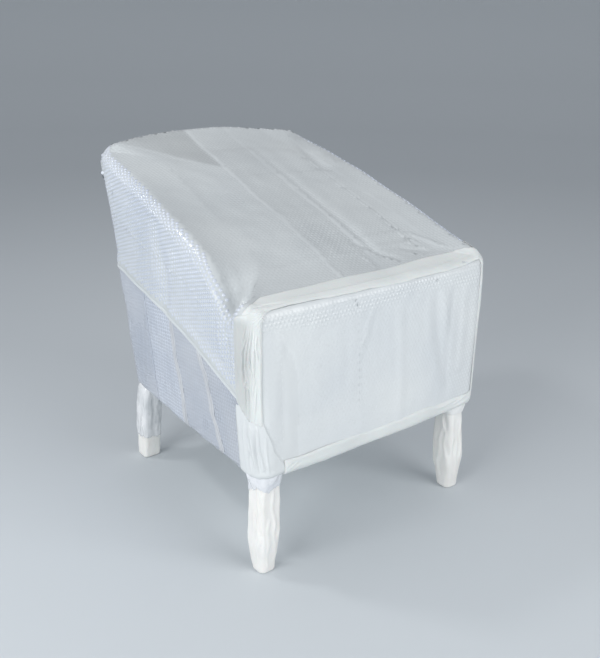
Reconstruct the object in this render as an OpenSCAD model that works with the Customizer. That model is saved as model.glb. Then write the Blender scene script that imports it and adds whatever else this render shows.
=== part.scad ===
// An armchair closed for shipping in bubble film and white foam.
// The origin is on the floor under the middle of the chair: +X to the right as seen from the front,
// +Y to its back, +Z up. All sizes are millimetres.

/* [Body] */
// Width across the front, at the rim
front_w = 666; // [560:1:720]
// Width across the back, at the rim
back_w = 596; // [500:1:640]
// How far each side leans in from the rim to the bottom at the front
front_side_lean = 15; // [4:1:30]
// How far each side leans in from the rim to the bottom at the back
back_side_lean = 33; // [4:1:50]
// Depth of the body at its bottom
bottom_d = 628; // [520:1:680]
// Place of the front face at its bottom, in front of the middle
front_y = 354; // [330:1:380]
// How far the front face leans back up to its rim
front_lean = 15; // [0:1:40]
// How far the back leans out up to its rim
back_lean = 70; // [30:1:100]
// Radius of the upright corners at the front
front_corner_r = 36; // [30:1:60]
// Radius of the upright corners at the back
back_corner_r = 38; // [30:1:80]
// How far the middle of the front bulges
front_bow = 5; // [0:1:15]
// How far the middle of the back bulges
back_bow = 18; // [0:1:30]
// How far the middle of each side bulges
side_bow = 4; // [0:1:12]

/* [Heights] */
// Height of the underside at the front
under_front_z = 233; // [190:1:260]
// Height of the underside at the back
under_back_z = 214; // [180:1:240]
// Height of the rim at the front
rim_front_z = 584; // [520:1:640]
// Height of the rim at the back corners
rim_back_z = 800; // [740:1:860]
// How far the middle of the back rim arches up
back_arch = 26; // [0:1:40]
// How far the arms rise over a straight line from the front to the back
arm_crown = 14; // [0:1:25]
// Radius of the rim all round
rim_r = 22; // [12:1:28]
// Radius of the bottom edge
bottom_r = 14; // [8:1:20]
// How far the front right corner stands up over the rim
right_corner_rise = 6; // [0:1:20]

/* [Stretched top] */
// Height of the stretched film where it meets the front
film_front_z = 567; // [540:1:590]
// Height of the stretched film where it meets the back
film_back_z = 814; // [780:1:840]
// How far the film bulges over a flat slope
film_crown = 10; // [0:1:25]
// Width over which the film runs from the rim down to its slope
film_reach = 95; // [60:5:130]
// How far the left arm's rim is pulled down behind the front corner
pinch_depth = 58; // [0:1:70]
// Distance of that pinch behind the front face
pinch_back = 74; // [60:1:90]
// Length of the pinch towards the back
pinch_len = 58; // [30:1:80]

/* [Film and foam] */
// Thickness of the bubble film
film_t = 3.5; // [2:0.1:5]
// Thickness of the foam strips
foam_t = 3.6; // [2:0.1:6]
// Clearance between one layer and the next
layer_gap = 0.4; // [0.3:0.05:0.8]
// Height of the gathers over the foam strip at the left corner
gather_h = 4; // [1:0.5:7]
// Height of the laps in the top film and the front film
lap_h = 1.6; // [0.5:0.1:3]
// Width over which a lap runs out
lap_w = 7; // [4:1:12]

/* [Hem of the top sheet] */
// Height of the hem at the front of the sides
hem_front_z = 378; // [350:1:420]
// Height of the hem at the back
hem_back_z = 526; // [480:1:560]
// How far the hem bows up between them
hem_bow = 26; // [0:1:40]
// How far the lower sheets reach up under the hem
hem_lap = 22; // [10:1:30]
// How far the rolled hem stands proud
hem_roll = 2.5; // [1:0.5:4]

/* [Side sheets] */
// Place of the back sheet's edge on the sides at the hem, behind the middle
back_edge_y = 136; // [110:1:190]
// How far that edge runs forwards down to the bottom
back_edge_slant = 24; // [0:1:50]
// Place of the rear seam at the hem, in front of the middle
rear_seam_y = 4; // [-30:1:30]
// How far the rear seam runs forwards down to the bottom
rear_seam_slant = 46; // [0:1:70]
// Place of the front seam at the hem, in front of the middle
front_seam_y = 140; // [110:1:160]
// How far the front seam runs forwards down to the bottom
front_seam_slant = 72; // [0:1:80]
// Width of the seam strips
seam_w = 17; // [10:1:26]
// Thickness of the seam strips
seam_t = 2.6; // [1.5:0.1:4]

/* [Foam strips] */
// Depth of the edge band on the top, behind the rim's curve
band_top_d = 6; // [3:1:30]
// How much deeper the edge band is at its right end
band_top_slant = 12; // [0:1:30]
// Height of the edge band's lower edge on the front, under the rim
band_front_h = 25; // [23:1:45]
// Height of the ragged end of the left corner strip, at its front
strip_end_z = 350; // [320:1:400]
// How far that end rises to the strip's rear edge
strip_end_rise = 44; // [0:1:60]
// How far the corner strips reach back along the sides, behind the corner's curve
strip_side_d = 32; // [15:1:45]
// How far the left strip reaches from the corner's middle onto the front, at its top
strip_top_w = 24; // [10:1:28]
// How far it reaches there at its end
strip_end_w = 7; // [2:1:28]
// Height of the bottom band on the front
bottom_band_h = 36; // [20:1:45]

/* [Legs] */
// Distance of the front feet's middles in from the sides, taken at the rim
front_foot_in = 51; // [44:1:70]
// Distance of the front feet's middles behind the front face
front_foot_back = 34; // [28:1:60]
// Distance of the back feet's middles in from the sides, taken at the rim
back_foot_in = 52; // [44:1:80]
// Distance of the back feet's middles in front of the back face, taken at the bottom
back_foot_ahead = 12; // [6:1:40]
// How far the tops of the legs stand inwards of the feet, on the front legs both ways
leg_splay = 8; // [0:1:16]
// Width of a front leg at its top
front_leg_top_w = 46; // [44:1:64]
// Width of a front foot
front_foot_w = 38; // [30:1:48]
// Width of a back leg at its top
back_leg_top_w = 48; // [44:1:64]
// Width of a back foot
back_foot_w = 47; // [36:1:56]
// Height of the lap in the foam round a leg
leg_lap = 2.4; // [1:0.1:4]
// How far the film skirts reach down the front legs
skirt_h = 62; // [40:1:90]
// Length of the points along the skirts' lower edge
skirt_point = 22; // [5:1:30]
// How far the clear sleeves reach down the back legs
sleeve_h = 118; // [80:1:150]
// Thickness of the skirts and sleeves
sleeve_t = 1.2; // [0.8:0.1:3]

/* [Hidden] */

// Layers, as distances out from the body
under_film = layer_gap;
over_film = under_film + film_t;
second_in = over_film + layer_gap;
second_out = second_in + film_t;
foam_out = second_in + foam_t;

// Heights over which the walls lean
wall_h = rim_back_z - under_back_z;
back_y = bottom_d - front_y;

// Share of each side that its half of a corner takes
corner_share = 0.12;
straight_share = 1 - 2 * corner_share;
side_steps = 10;
corner_steps = 2;

function mix(a, b, t) = a + (b - a) * t;
function clamp(t) = min(1, max(0, t));
function ease(t) = let (c = clamp(t)) c * c * (3 - 2 * c);
function bell(t) = exp(-t * t);
function flat(rows) = [for (row = rows) each row];

// Half width and the front and back places of the walls at height z
function front_half(z) = front_w / 2 - front_side_lean * (rim_front_z - z) / (rim_front_z - under_front_z);
function back_half(z) = back_w / 2 - back_side_lean * (rim_back_z - z) / wall_h;
function half_w(z) = (front_half(z) + back_half(z)) / 2;
function front_at(z) = -front_y + front_lean * (z - under_front_z) / (rim_front_z - under_front_z);
function back_at(z) = back_y + back_lean * (z - under_back_z) / wall_h;

// Point [along, inwards] on one side of a rounded rectangle, g from 0 to 1 along the side
function side_point(g, half, r0, r1) =
    g < corner_share
        ? let (turn = 45 * (1 - g / corner_share)) [-(half - r0) - r0 * sin(turn), r0 * (1 - cos(turn))]
        : g > 1 - corner_share
            ? let (turn = 45 * (g - 1 + corner_share) / corner_share)
                [half - r1 + r1 * sin(turn), r1 * (1 - cos(turn))]
            : [mix(-(half - r0), half - r1, (g - corner_share) / straight_share), 0];

// Point on a rounded rectangle in plan: u runs from 0 at the front left corner, anticlockwise from above,
// by 1 for each side
function plan_point(u, w, y0, y1, rf, rb) =
    let (
        side = (floor(u) + 4) % 4,
        g = u - floor(u),
        half_d = (y1 - y0) / 2,
        mid = (y0 + y1) / 2,
        p = side == 0 ? side_point(g, w, rf, rf)
            : side == 1 ? side_point(g, half_d, rf, rb)
            : side == 2 ? side_point(g, w, rb, rb)
            : side_point(g, half_d, rb, rf)
    )
    side == 0 ? [p.x, y0 + p.y]
    : side == 1 ? [w - p.y, mid + p.x]
    : side == 2 ? [-p.x, y1 - p.y]
    : [-w + p.y, mid - p.x];

// The body's outline in plan at height z, moved outwards by off, tapered to the back and bowed
min_r = 12;
mean_w = (front_w + back_w) / 4;
function outline(u, z, off) =
    let (
        w = half_w(z) + off,
        y0 = front_at(z) - off,
        y1 = back_at(z) + off,
        p = plan_point(u, w, y0, y1, max(min_r, front_corner_r + off), max(min_r, back_corner_r + off)),
        xn = p.x / w,
        yn = (2 * p.y - y0 - y1) / (y1 - y0),
        taper = mix(front_half(z), back_half(z), (yn + 1) / 2) / half_w(z)
    )
    [
        p.x * taper + side_bow * xn * (1 - yn * yn),
        p.y + mix(-front_bow, back_bow, (yn + 1) / 2) * (1 - xn * xn)
    ];

// Plan place as shares of the half width and half depth, from -1 to 1
function share(u) =
    let (half_d = (bottom_d + back_lean - front_lean) / 2)
    let (p = plan_point(u, mean_w, -half_d, half_d, front_corner_r, back_corner_r))
    [p.x / mean_w, p.y / half_d];

// Height of the rim round the body
pinch_share = 1 - pinch_back / (bottom_d + back_lean - front_lean) * 2;
pinch_front_len = 20;
function rim_z(u) =
    let (
        s = share(u),
        t = (s.y + 1) / 2,
        half_d = (bottom_d + back_lean - front_lean) / 2,
        ahead = (-pinch_share - s.y) * half_d,
        pinch = bell(ahead / (ahead > 0 ? pinch_front_len : pinch_len))
    )
    mix(rim_front_z, rim_back_z, t)
    + back_arch * (1 - s.x * s.x) * pow(max(0, s.y), 3)
    + arm_crown * sin(180 * t) * s.x * s.x
    + right_corner_rise * ease((s.x - 0.7) / 0.3) * ease((-s.y - 0.5) / 0.5)
    - (s.x < 0 ? pinch_depth * ease(-4 * s.x - 3) * pinch : 0);

// Height of the stretched film over the seat, and of the underside, at a place y
function film_z(y) =
    let (t = clamp((y - front_at(rim_front_z)) / (back_at(rim_back_z) - front_at(rim_front_z))))
    mix(film_front_z, film_back_z, t) + film_crown * sin(180 * t);
function under_z(y) = mix(under_front_z, under_back_z, (y + front_y) / bottom_d);
function under_at(u) = under_z(outline(u, under_front_z, 0).y);

// A point on the body's surface moved outwards by d. v is -1 to 0 round the bottom edge, 0 to 1 up the
// wall, 1 to 2 over the rim and 2 to 3 inwards over the top.
function skin(u, v, d) =
    let (top = rim_z(u), low = under_at(u))
    v < 0 ? skin_bottom(u, low, -90 * v, d)
    : v <= 1 ? let (z = mix(low + bottom_r, top - rim_r, v)) wall_point(u, z, d)
    : v <= 2 ? let (turn = 90 * (v - 1), p = outline(u, top - rim_r, (rim_r + d) * cos(turn) - rim_r))
        [p.x, p.y, top - rim_r + (rim_r + d) * sin(turn)]
    : skin_top(u, top, v - 2, d);
function skin_bottom(u, low, turn, d) =
    let (p = outline(u, low + bottom_r, (bottom_r + d) * cos(turn) - bottom_r))
    [p.x, p.y, low + bottom_r - (bottom_r + d) * sin(turn)];
function skin_top(u, top, s, d) =
    let (
        rim = outline(u, top - rim_r, -rim_r),
        p = outline(u, top - rim_r, -rim_r - s * film_reach),
        rise = (top - film_z(rim.y)) * pow(1 - s, 2)
    )
    [p.x, p.y, film_z(p.y) + rise + d];
function wall_point(u, z, d) = let (p = outline(u, z, d)) [p.x, p.y, z];

// Share of the wall's height at which height z lies, and the place round the body at which y lies
function wall_v(u, z) =
    let (low = under_at(u) + bottom_r)
    (z - low) / (rim_z(u) - rim_r - low);
function left_u(y, z) =
    let (y0 = front_at(z), y1 = back_at(z))
    3 + corner_share + straight_share * (y1 - back_corner_r - y) / (y1 - y0 - front_corner_r - back_corner_r);

// Places along the front, as shares from -1 to 1 of the width at the rim, made places round the body
straight_end = 1 - front_corner_r / (front_w / 2);
function front_place(s) = mix(corner_share, 1 - corner_share, (s / straight_end + 1) / 2);
function front_share(g) = mix(-straight_end, straight_end, (g - corner_share) / straight_share);

// Places round the body: each side from its corner, the next corner left to the next side. Every layer
// has these places, so that the layers stay parallel. A lap takes two of them, one at its edge and one
// where it has run out.
film_lap_share = -0.7;
lap_shares = [-0.2, 0.17, 0.74];
lap_edge = 2 * lap_w / front_w;
half_corner = [for (k = [0:corner_steps - 1]) k / corner_steps * corner_share];
corner_end = [for (k = [corner_steps - 1:-1:1]) 1 - half_corner[k]];
side_straight = bottom_d + (back_lean + front_lean) / 2 - front_corner_r - back_corner_r;
strip_place = corner_share + straight_share * strip_side_d / side_straight;
lap_pair = function(s) [front_place(s), front_place(s + lap_edge)];
front_straight = concat(
    [corner_share],
    lap_pair(film_lap_share),
    [front_place(-0.44)],
    lap_pair(lap_shares[0]),
    lap_pair(lap_shares[1]),
    [front_place(0.46)],
    lap_pair(lap_shares[2]),
    [1 - corner_share]
);
front_places = concat(half_corner, front_straight, corner_end);
side_places = concat(
    half_corner,
    [corner_share],
    [for (k = [0:side_steps]) mix(strip_place, 1 - corner_share, pow(k / side_steps, 1.3))],
    corner_end
);
function backwards(places) =
    [for (k = [len(places) - 1:-1:0]) 1 - (k == len(places) - 1 ? 1 : places[k + 1])];
round_places = concat(
    front_places,
    [for (g = side_places) 1 + g],
    [for (g = backwards(front_places)) 2 + g],
    [for (g = backwards(side_places)) 3 + g]
);
front_count = len(front_places);
side_count = len(side_places);

// Point grid over the body: one row for each v, one column for each u
function skin_grid(us, vs, d) = [for (v = vs) [for (u = us) skin(u, v, d)]];

// Fill of a closed ring of points by rows across it: na steps along the front and nb along each side
function ring_point(ring, i, j, na, nb) =
    ring[ring_index(i, j, na, nb)];
function ring_index(i, j, na, nb) =
    j == 0 ? i
    : i == na ? na + j
    : j == nb ? 2 * na + nb - i
    : 2 * (na + nb) - j;
function fill_point(ring, i, j, na, nb) =
    let (
        s = i / na,
        t = j / nb,
        across = mix(ring_point(ring, 0, j, na, nb), ring_point(ring, na, j, na, nb), s),
        along = mix(ring_point(ring, i, 0, na, nb), ring_point(ring, i, nb, na, nb), t),
        corners = mix(
            mix(ring[0], ring[na], s),
            mix(ring_point(ring, 0, nb, na, nb), ring_point(ring, na, nb, na, nb), s),
            t
        )
    )
    across + along - corners;
function fill_points(ring, na, nb) =
    [for (j = [1:nb - 1]) for (i = [1:na - 1]) fill_point(ring, i, j, na, nb)];

// Triangles, clockwise from outside. Four points a, b, c, d run round a face, anticlockwise from outside.
function face(a, b, c, d, turned) = turned ? [[a, b, c], [a, c, d]] : [[a, c, b], [a, d, c]];
function fill_faces(ring0, inner0, na, nb, turned) =
    let (
        at = function(i, j)
            i == 0 || i == na || j == 0 || j == nb
                ? ring0 + ring_index(i, j, na, nb)
                : inner0 + (j - 1) * (na - 1) + i - 1
    )
    [for (j = [0:nb - 1]) for (i = [0:na - 1])
        each face(at(i, j), at(i + 1, j), at(i + 1, j + 1), at(i, j + 1), turned)];
function band_faces(rows, cols, closed, first, turned) =
    [for (r = [0:rows - 2]) for (c = [0:cols - (closed ? 1 : 2)])
        let (n = (c + 1) % cols, a = first + r * cols)
        each face(a + c, a + n, a + cols + n, a + cols + c, turned)];

// A sheet between an outer and an inner grid. keep(r, c) says which cells it has, closed joins the last
// column to the first, and capped leaves the last row open for a fill.
function sheet_faces(rows, cols, closed, capped, keep) =
    let (
        half = rows * cols,
        wide = cols - (closed ? 0 : 1),
        has = function(r, c)
            r >= 0 && r < rows - 1 && (closed || (c >= 0 && c < wide)) && keep(r, (c + wide) % wide)
    )
    [for (r = [0:rows - 2]) for (c = [0:wide - 1]) if (keep(r, c))
        let (
            n = (c + 1) % cols,
            a = r * cols + c,
            b = r * cols + n,
            e = a + cols,
            f = b + cols
        )
        each concat(
            face(a, b, f, e, false),
            face(a + half, b + half, f + half, e + half, true),
            has(r, c - 1) ? [] : face(a, e, e + half, a + half, false),
            has(r, c + 1) ? [] : face(b, f, f + half, b + half, true),
            has(r - 1, c) ? [] : face(a, b, b + half, a + half, true),
            has(r + 1, c) || (capped && r == rows - 2) ? [] : face(e, f, f + half, e + half, false)
        )];
module sheet(outer, inner, closed = false, keep = function(r, c) true) {
    polyhedron(
        points = concat(flat(outer), flat(inner)),
        faces = sheet_faces(len(outer), len(outer[0]), closed, false, keep),
        convexity = 8
    );
}

// Chair body in its white foam wrap, one closed solid
module padded_body() {
    us = round_places;
    na = front_count;
    nb = side_count;
    vs = [-1, -0.5, 0, 0.5, 1, 1.35, 1.7, 2, 2.3, 2.6, 3];
    rings = skin_grid(us, vs, 0);
    cols = len(us);
    low = fill_points(rings[0], na, nb);
    high = fill_points(rings[len(vs) - 1], na, nb);
    count = cols * len(vs);
    color("white")
        polyhedron(
            points = concat(flat(rings), low, high),
            faces = concat(
                band_faces(len(vs), cols, true, 0, false),
                fill_faces(0, count, na, nb, true),
                fill_faces(cols * (len(vs) - 1), count + len(low), na, nb, false)
            ),
            convexity = 8
        );
}

// Bubble film hood over the back, the arms and the seat, with laps that run from the front to the back
function lap_rise(u) =
    let (
        side = (floor(u) + 4) % 4,
        g = u - floor(u),
        s = side == 0 ? front_share(g) : front_share(1 - g)
    )
    side % 2 == 1 ? 0 : lap_h * max([for (l = lap_shares) abs(s - l) < lap_edge / 4 ? 1 : 0]);
function hem_z(y) =
    let (t = clamp((y + front_y) / (bottom_d + back_lean)))
    mix(hem_front_z, hem_back_z, t) + hem_bow * sin(180 * t);
function hem_at(u) = hem_z(outline(u, hem_front_z, 0).y);
hem_rows = [[0, 0.3], [5, 1], [13, 0.1], [hem_lap, 0], [hem_lap + 26, 0]];
module top_sheet() {
    us = round_places;
    na = front_count;
    nb = side_count;
    upper = [1, 1.35, 1.7, 2, 2.3, 2.6, 3];
    low = len(hem_rows);
    first = na + corner_steps + 1;
    last = 2 * (na + nb) - corner_steps - 1;
    rows = low + 1 + len(upper);
    v_at = function(u, r)
        r < low ? wall_v(u, hem_at(u) + hem_rows[r][0])
        : r == low ? mix(wall_v(u, hem_at(u) + hem_rows[low - 1][0]), 1, 0.5)
        : upper[r - low - 1];
    // The laps run out under the edge band
    lapped = function(u, r) floor(u) == 0 ? (r == rows - 1 ? 1 : 0) : 1;
    outer_d = function(u, r)
        lap_rise(u) * lapped(u, r)
        + (r < low - 1 ? second_out + hem_roll * hem_rows[r][1] : over_film);
    inner_d = function(u, r) r < low - 1 ? second_in : under_film;
    outer = [for (r = [0:rows - 1]) [for (u = us) skin(u, v_at(u, r), outer_d(u, r))]];
    inner = [for (r = [0:rows - 1]) [for (u = us) skin(u, v_at(u, r), inner_d(u, r))]];
    fill_out = fill_points(outer[rows - 1], na, nb);
    fill_in = fill_points(inner[rows - 1], na, nb);
    count = rows * len(us);
    // The front stays bare up to the rim's curve, where the edge band covers it
    keep = function(r, c) r >= low + 3 || (c >= first && c < last);
    color("aliceblue")
        polyhedron(
            points = concat(flat(outer), flat(inner), fill_out, fill_in),
            faces = concat(
                sheet_faces(rows, len(us), true, true, keep),
                fill_faces(count - len(us), 2 * count, na, nb, false),
                fill_faces(2 * count - len(us), 2 * count + len(fill_out), na, nb, true)
            ),
            convexity = 8
        );
}

// Places round the front corners, from the left side's edge round to the right side's
edge_gap = 0.001;
left_edge = edge_gap - strip_place;
right_edge = 1 + strip_place - edge_gap;
left_corner = [left_edge, -corner_share, -half_corner[1]];
right_corner = [1, 1 + half_corner[1], 1 + corner_share, right_edge];
front_wrap = concat(left_corner, front_places, right_corner);

// The skin held to the chords between the places at the left corner, so that what lies there stays on
// the facets of the layer under it, and over the rim to the film's next row
film_row = 2.3;
corner_places = [-strip_place, -corner_share, -half_corner[1], 0, half_corner[1], corner_share];
function film_skin(u, v, d) =
    v <= 2 ? skin(u, v, d) : mix(skin(u, 2, d), skin(u, film_row, d), (v - 2) / (film_row - 2));
function chord_skin(u, v, d) =
    u > corner_share ? film_skin(u, v, d)
    : let (
        k = max([for (k = [0:len(corner_places) - 2]) if (corner_places[k] <= u) k]),
        t = (u - corner_places[k]) / (corner_places[k + 1] - corner_places[k])
    )
    mix(film_skin(corner_places[k], v, d), film_skin(corner_places[k + 1], v, d), t);

// Bubble film over the front, wrapped round both front corners, with a lap near its left edge
module front_sheet() {
    vs = [-0.6, -0.3, 0, 0.15, 0.4, 0.8, 0.9, 1, 1.35];
    lap_rows = [0, 0, 0, 0, 1, 1, 0, 0, 0];
    lap_place = front_place(film_lap_share);
    grid = function(d, lap) [for (r = [0:len(vs) - 1]) [for (u = front_wrap)
        chord_skin(u, vs[r], d + (u == lap_place ? lap * lap_rows[r] : 0))]];
    color("ghostwhite") sheet(grid(over_film, lap_h), grid(under_film, 0));
}

// A sheet on the lower part of a side, between two slanted edges. An edge holds its place at the hem and
// how far it runs forwards down to the bottom, and edge_u gives its place round the body at height z.
back_edge = [back_edge_y, back_edge_slant];
rear_seam = [-rear_seam_y, rear_seam_slant];
front_seam = [-front_seam_y, front_seam_slant];
side_film_front = 4 - strip_place - edge_gap;
function edge_y(edge, z) =
    edge[0] - edge[1] * (hem_z(edge[0]) - z) / (hem_z(edge[0]) - under_z(edge[0]));
function edge_u(edge, by) = function(z) left_u(edge_y(edge, z) + by, z);
side_heights = [-0.5, 0, 0.33, 0.67, 1];
function side_grid(rear_u, front_u, steps, d, mirrored) =
    [for (h = side_heights) [for (k = [0:steps])
        let (
            t = mirrored ? 1 - k / steps : k / steps,
            rough = mix(rear_u(hem_front_z), front_u(hem_front_z), t),
            z = mix(under_at(rough) + bottom_r, hem_at(rough) + hem_lap - 3, max(0, h)),
            u = mix(rear_u(z), front_u(z), t),
            side = mirrored ? 5 - u : u
        )
        skin(side, h < 0 ? h : wall_v(side, z), d)]];
module side_sheet(rear_u, front_u, steps, mirrored = false)
    sheet(
        side_grid(rear_u, front_u, steps, over_film, mirrored),
        side_grid(rear_u, front_u, steps, under_film, mirrored)
    );
module left_rear_sheet()
    color("gainsboro") side_sheet(edge_u(back_edge, -layer_gap), edge_u(rear_seam, layer_gap), 4);
module left_middle_sheet()
    color("lightsteelblue") side_sheet(edge_u(rear_seam, -layer_gap), edge_u(front_seam, layer_gap), 4);
module left_front_sheet()
    color("lightsteelblue") side_sheet(edge_u(front_seam, -layer_gap), function(z) side_film_front, 3);
module right_side_sheet()
    color("gainsboro") side_sheet(edge_u(back_edge, -layer_gap), function(z) side_film_front, 10, true);

// Bubble film over the back, wrapped round both back corners
module back_sheet() {
    fixed = concat(
        [2 - corner_share, 2 - half_corner[1]],
        [for (g = backwards(front_places)) 2 + g],
        [3, 3 + half_corner[1], 3 + corner_share]
    );
    last = len(fixed) + 3;
    edge = edge_u(back_edge, layer_gap);
    point = function(h, c, d)
        let (
            rough = c == 0 ? 5 - edge(hem_back_z)
                : c == 1 ? mix(5 - edge(hem_back_z), 2 - corner_share, 0.5)
                : c == last - 1 ? mix(3 + corner_share, edge(hem_back_z), 0.5)
                : c == last ? edge(hem_back_z)
                : fixed[c - 2],
            z = mix(under_at(rough) + bottom_r, hem_at(rough) + hem_lap - 3, max(0, h)),
            u = c == 0 ? 5 - edge(z)
                : c == 1 ? mix(5 - edge(z), rough, 0.5)
                : c == last - 1 ? mix(rough, edge(z), 0.5)
                : c == last ? edge(z)
                : rough
        )
        skin(u, h < 0 ? h : wall_v(u, z), d);
    grid = function(d) [for (h = side_heights) [for (c = [0:last]) point(h, c, d)]];
    color("gainsboro") sheet(grid(over_film), grid(under_film));
}

// Folded strip over the seam between two side sheets, thickest along its middle
module seam_strip(seam) {
    heights = [-0.3, 0, 0.25, 0.5, 0.75, 1];
    across = [-1, -0.4, 0.4, 1];
    point = function(h, a, d)
        let (
            low = under_z(seam[0]) + bottom_r,
            top = hem_z(seam[0] - seam_w / 2) - 2,
            z = mix(low, top, max(0, h)),
            u = left_u(edge_y(seam, z) - a * seam_w / 2, z)
        )
        skin(u, h < 0 ? h : wall_v(u, z), d);
    outer = [for (h = heights) [for (a = across) point(h, a, second_in + seam_t * (abs(a) == 1 ? 0.4 : 1))]];
    inner = [for (h = heights) [for (a = across) point(h, a, second_in)]];
    color("white") sheet(outer, inner);
}
module rear_seam_strip() seam_strip(rear_seam);
module front_seam_strip() seam_strip(front_seam);

// White foam strip along the front top edge, turned down both front corners and gathered at the left one.
strip_flat_steps = 2;
strip_side_steps = strip_flat_steps + 8;
strip_loose = 0.4;
strip_front_steps = 8;
strip_steps = strip_side_steps + strip_front_steps;
corner_arc = front_corner_r * PI / 4;
strip_top_place = corner_share * strip_top_w / corner_arc;
strip_end_place = corner_share * strip_end_w / corner_arc;
function strip_end_at(t) = strip_end_z + strip_end_rise * pow(1 - clamp(t), 2);
gather_env = [0.8, 1, 1, 0.9, 0.75, 0.6, 0.5, 0.3, 0.15, 0];
module edge_band() {
    rows = [0, 0.33, 0.67, 1];
    curve = [1, 1.35, 1.7, 2];
    count = len(rows) + len(curve) + 2;
    right_us = concat([for (u = front_straight) if (u >= corner_share) u], corner_end, right_corner);
    right_first = len(right_us) - len(corner_end) - len(right_corner) + strip_steps;
    cols = strip_steps + 1 + len(right_us);
    band_end_z = under_front_z + bottom_band_h + 1;
    top_v = function(u) 2 + (band_top_d + band_top_slant * clamp(u)) / film_reach;
    place = function(c, r)
        let (front_edge = mix(strip_end_place, strip_top_place, r < len(rows) ? rows[r] : 1))
        c < strip_flat_steps ? mix(left_edge, -corner_share, c / strip_flat_steps)
        : c < strip_side_steps
            ? mix(-corner_share, 0, (c - strip_flat_steps) / (strip_side_steps - strip_flat_steps))
        : c <= strip_steps ? mix(0, front_edge, (c - strip_side_steps) / strip_front_steps)
        : right_us[c - strip_steps - 1];
    end_share = function(c) (place(c, 0) - left_edge) / (strip_end_place - left_edge);
    end_z = function(c)
        c <= strip_steps ? strip_end_at(end_share(c)) + (c % 2 == 0 ? 0 : gather_h) : band_end_z;
    v_at = function(u, c, r)
        r < len(rows)
            ? mix(wall_v(u, end_z(c)), min(0.96, wall_v(u, rim_front_z - band_front_h)), rows[r])
            : r < count - 2 ? curve[r - len(rows)]
            : mix(2, top_v(u), (r - count + 3) / 2);
    rise = function(c, r) c < strip_steps && c % 2 == 1 ? gather_h * gather_env[r] : 0;
    loose = function(c) c <= strip_steps ? strip_loose : 0;
    grid = function(d, gathers) [for (r = [0:count - 1]) [for (c = [0:cols - 1])
        let (u = place(c, r)) chord_skin(u, v_at(u, c, r), d + loose(c) + gathers * rise(c, r))]];
    color("white")
        sheet(
            grid(foam_out, 1),
            grid(second_in, 0),
            false,
            function(r, c)
                r >= count - 3 ? c >= strip_side_steps
                : r >= len(rows) - 1 || c < strip_steps || c >= right_first
        );
}

// White foam strip along the bottom edge of the front
module bottom_band() {
    us = concat([for (u = front_places) if (u > corner_share / 2) u], right_corner);
    low_rows = [-0.9, -0.6, -0.3];
    high_rows = [0, 0.5, 1];
    grid = function(d) concat(
        [for (v = low_rows) [for (u = us) skin(u, v, d)]],
        [for (h = high_rows) [for (u = us) skin(u, h * wall_v(u, under_at(u) + bottom_band_h), d)]]
    );
    color("white") sheet(grid(foam_out), grid(second_in));
}

// Bubble film round the lower front left corner, under the ragged end of the strip
module corner_wrap() {
    places = concat(left_corner, [0, corner_share / 2 - edge_gap]);
    steps = 2 * (len(places) - 1);
    us = [for (k = [0:steps]) mix(places[floor(k / 2)], places[ceil(k / 2)], 0.5)];
    top_z = function(k) strip_end_at((us[k] - left_edge) / (strip_end_place - left_edge)) - 4;
    low_rows = [-0.5, -0.25];
    high_rows = [0, 0.33, 0.67, 1];
    grid = function(d) concat(
        [for (v = low_rows) [for (u = us) chord_skin(u, v, d)]],
        [for (h = high_rows) [for (k = [0:steps]) chord_skin(us[k], h * wall_v(us[k], top_z(k)), d)]]
    );
    color("aliceblue") sheet(grid(second_out), grid(second_in));
}

// Legs. A leg is its foot's place, its top's place, its top's width, its foot's width, how far its foam
// bulges and the side, from 0 to 3, on which the foam's last turn ends.
front_foot_x = front_w / 2 - front_foot_in;
front_foot_y = front_y - front_foot_back;
back_foot_x = back_w / 2 - back_foot_in;
back_foot_y = back_y - back_foot_ahead;
front_top_x = front_foot_x - leg_splay;
front_top_y = front_foot_y - leg_splay;
back_top_y = back_foot_y - leg_splay;
foam_bulge = 5;
function front_leg(side, bulge, turn) = [
    [side * front_foot_x, -front_foot_y], [side * front_top_x, -front_top_y],
    front_leg_top_w, front_foot_w, bulge, turn
];
function back_leg(side) = [
    [side * back_foot_x, back_foot_y], [side * back_foot_x, back_top_y],
    back_leg_top_w, back_foot_w, 0, 0
];
front_left = front_leg(-1, 0, 0);
front_right = front_leg(1, foam_bulge, 3);
back_left = back_leg(-1);
back_right = back_leg(1);

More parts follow.
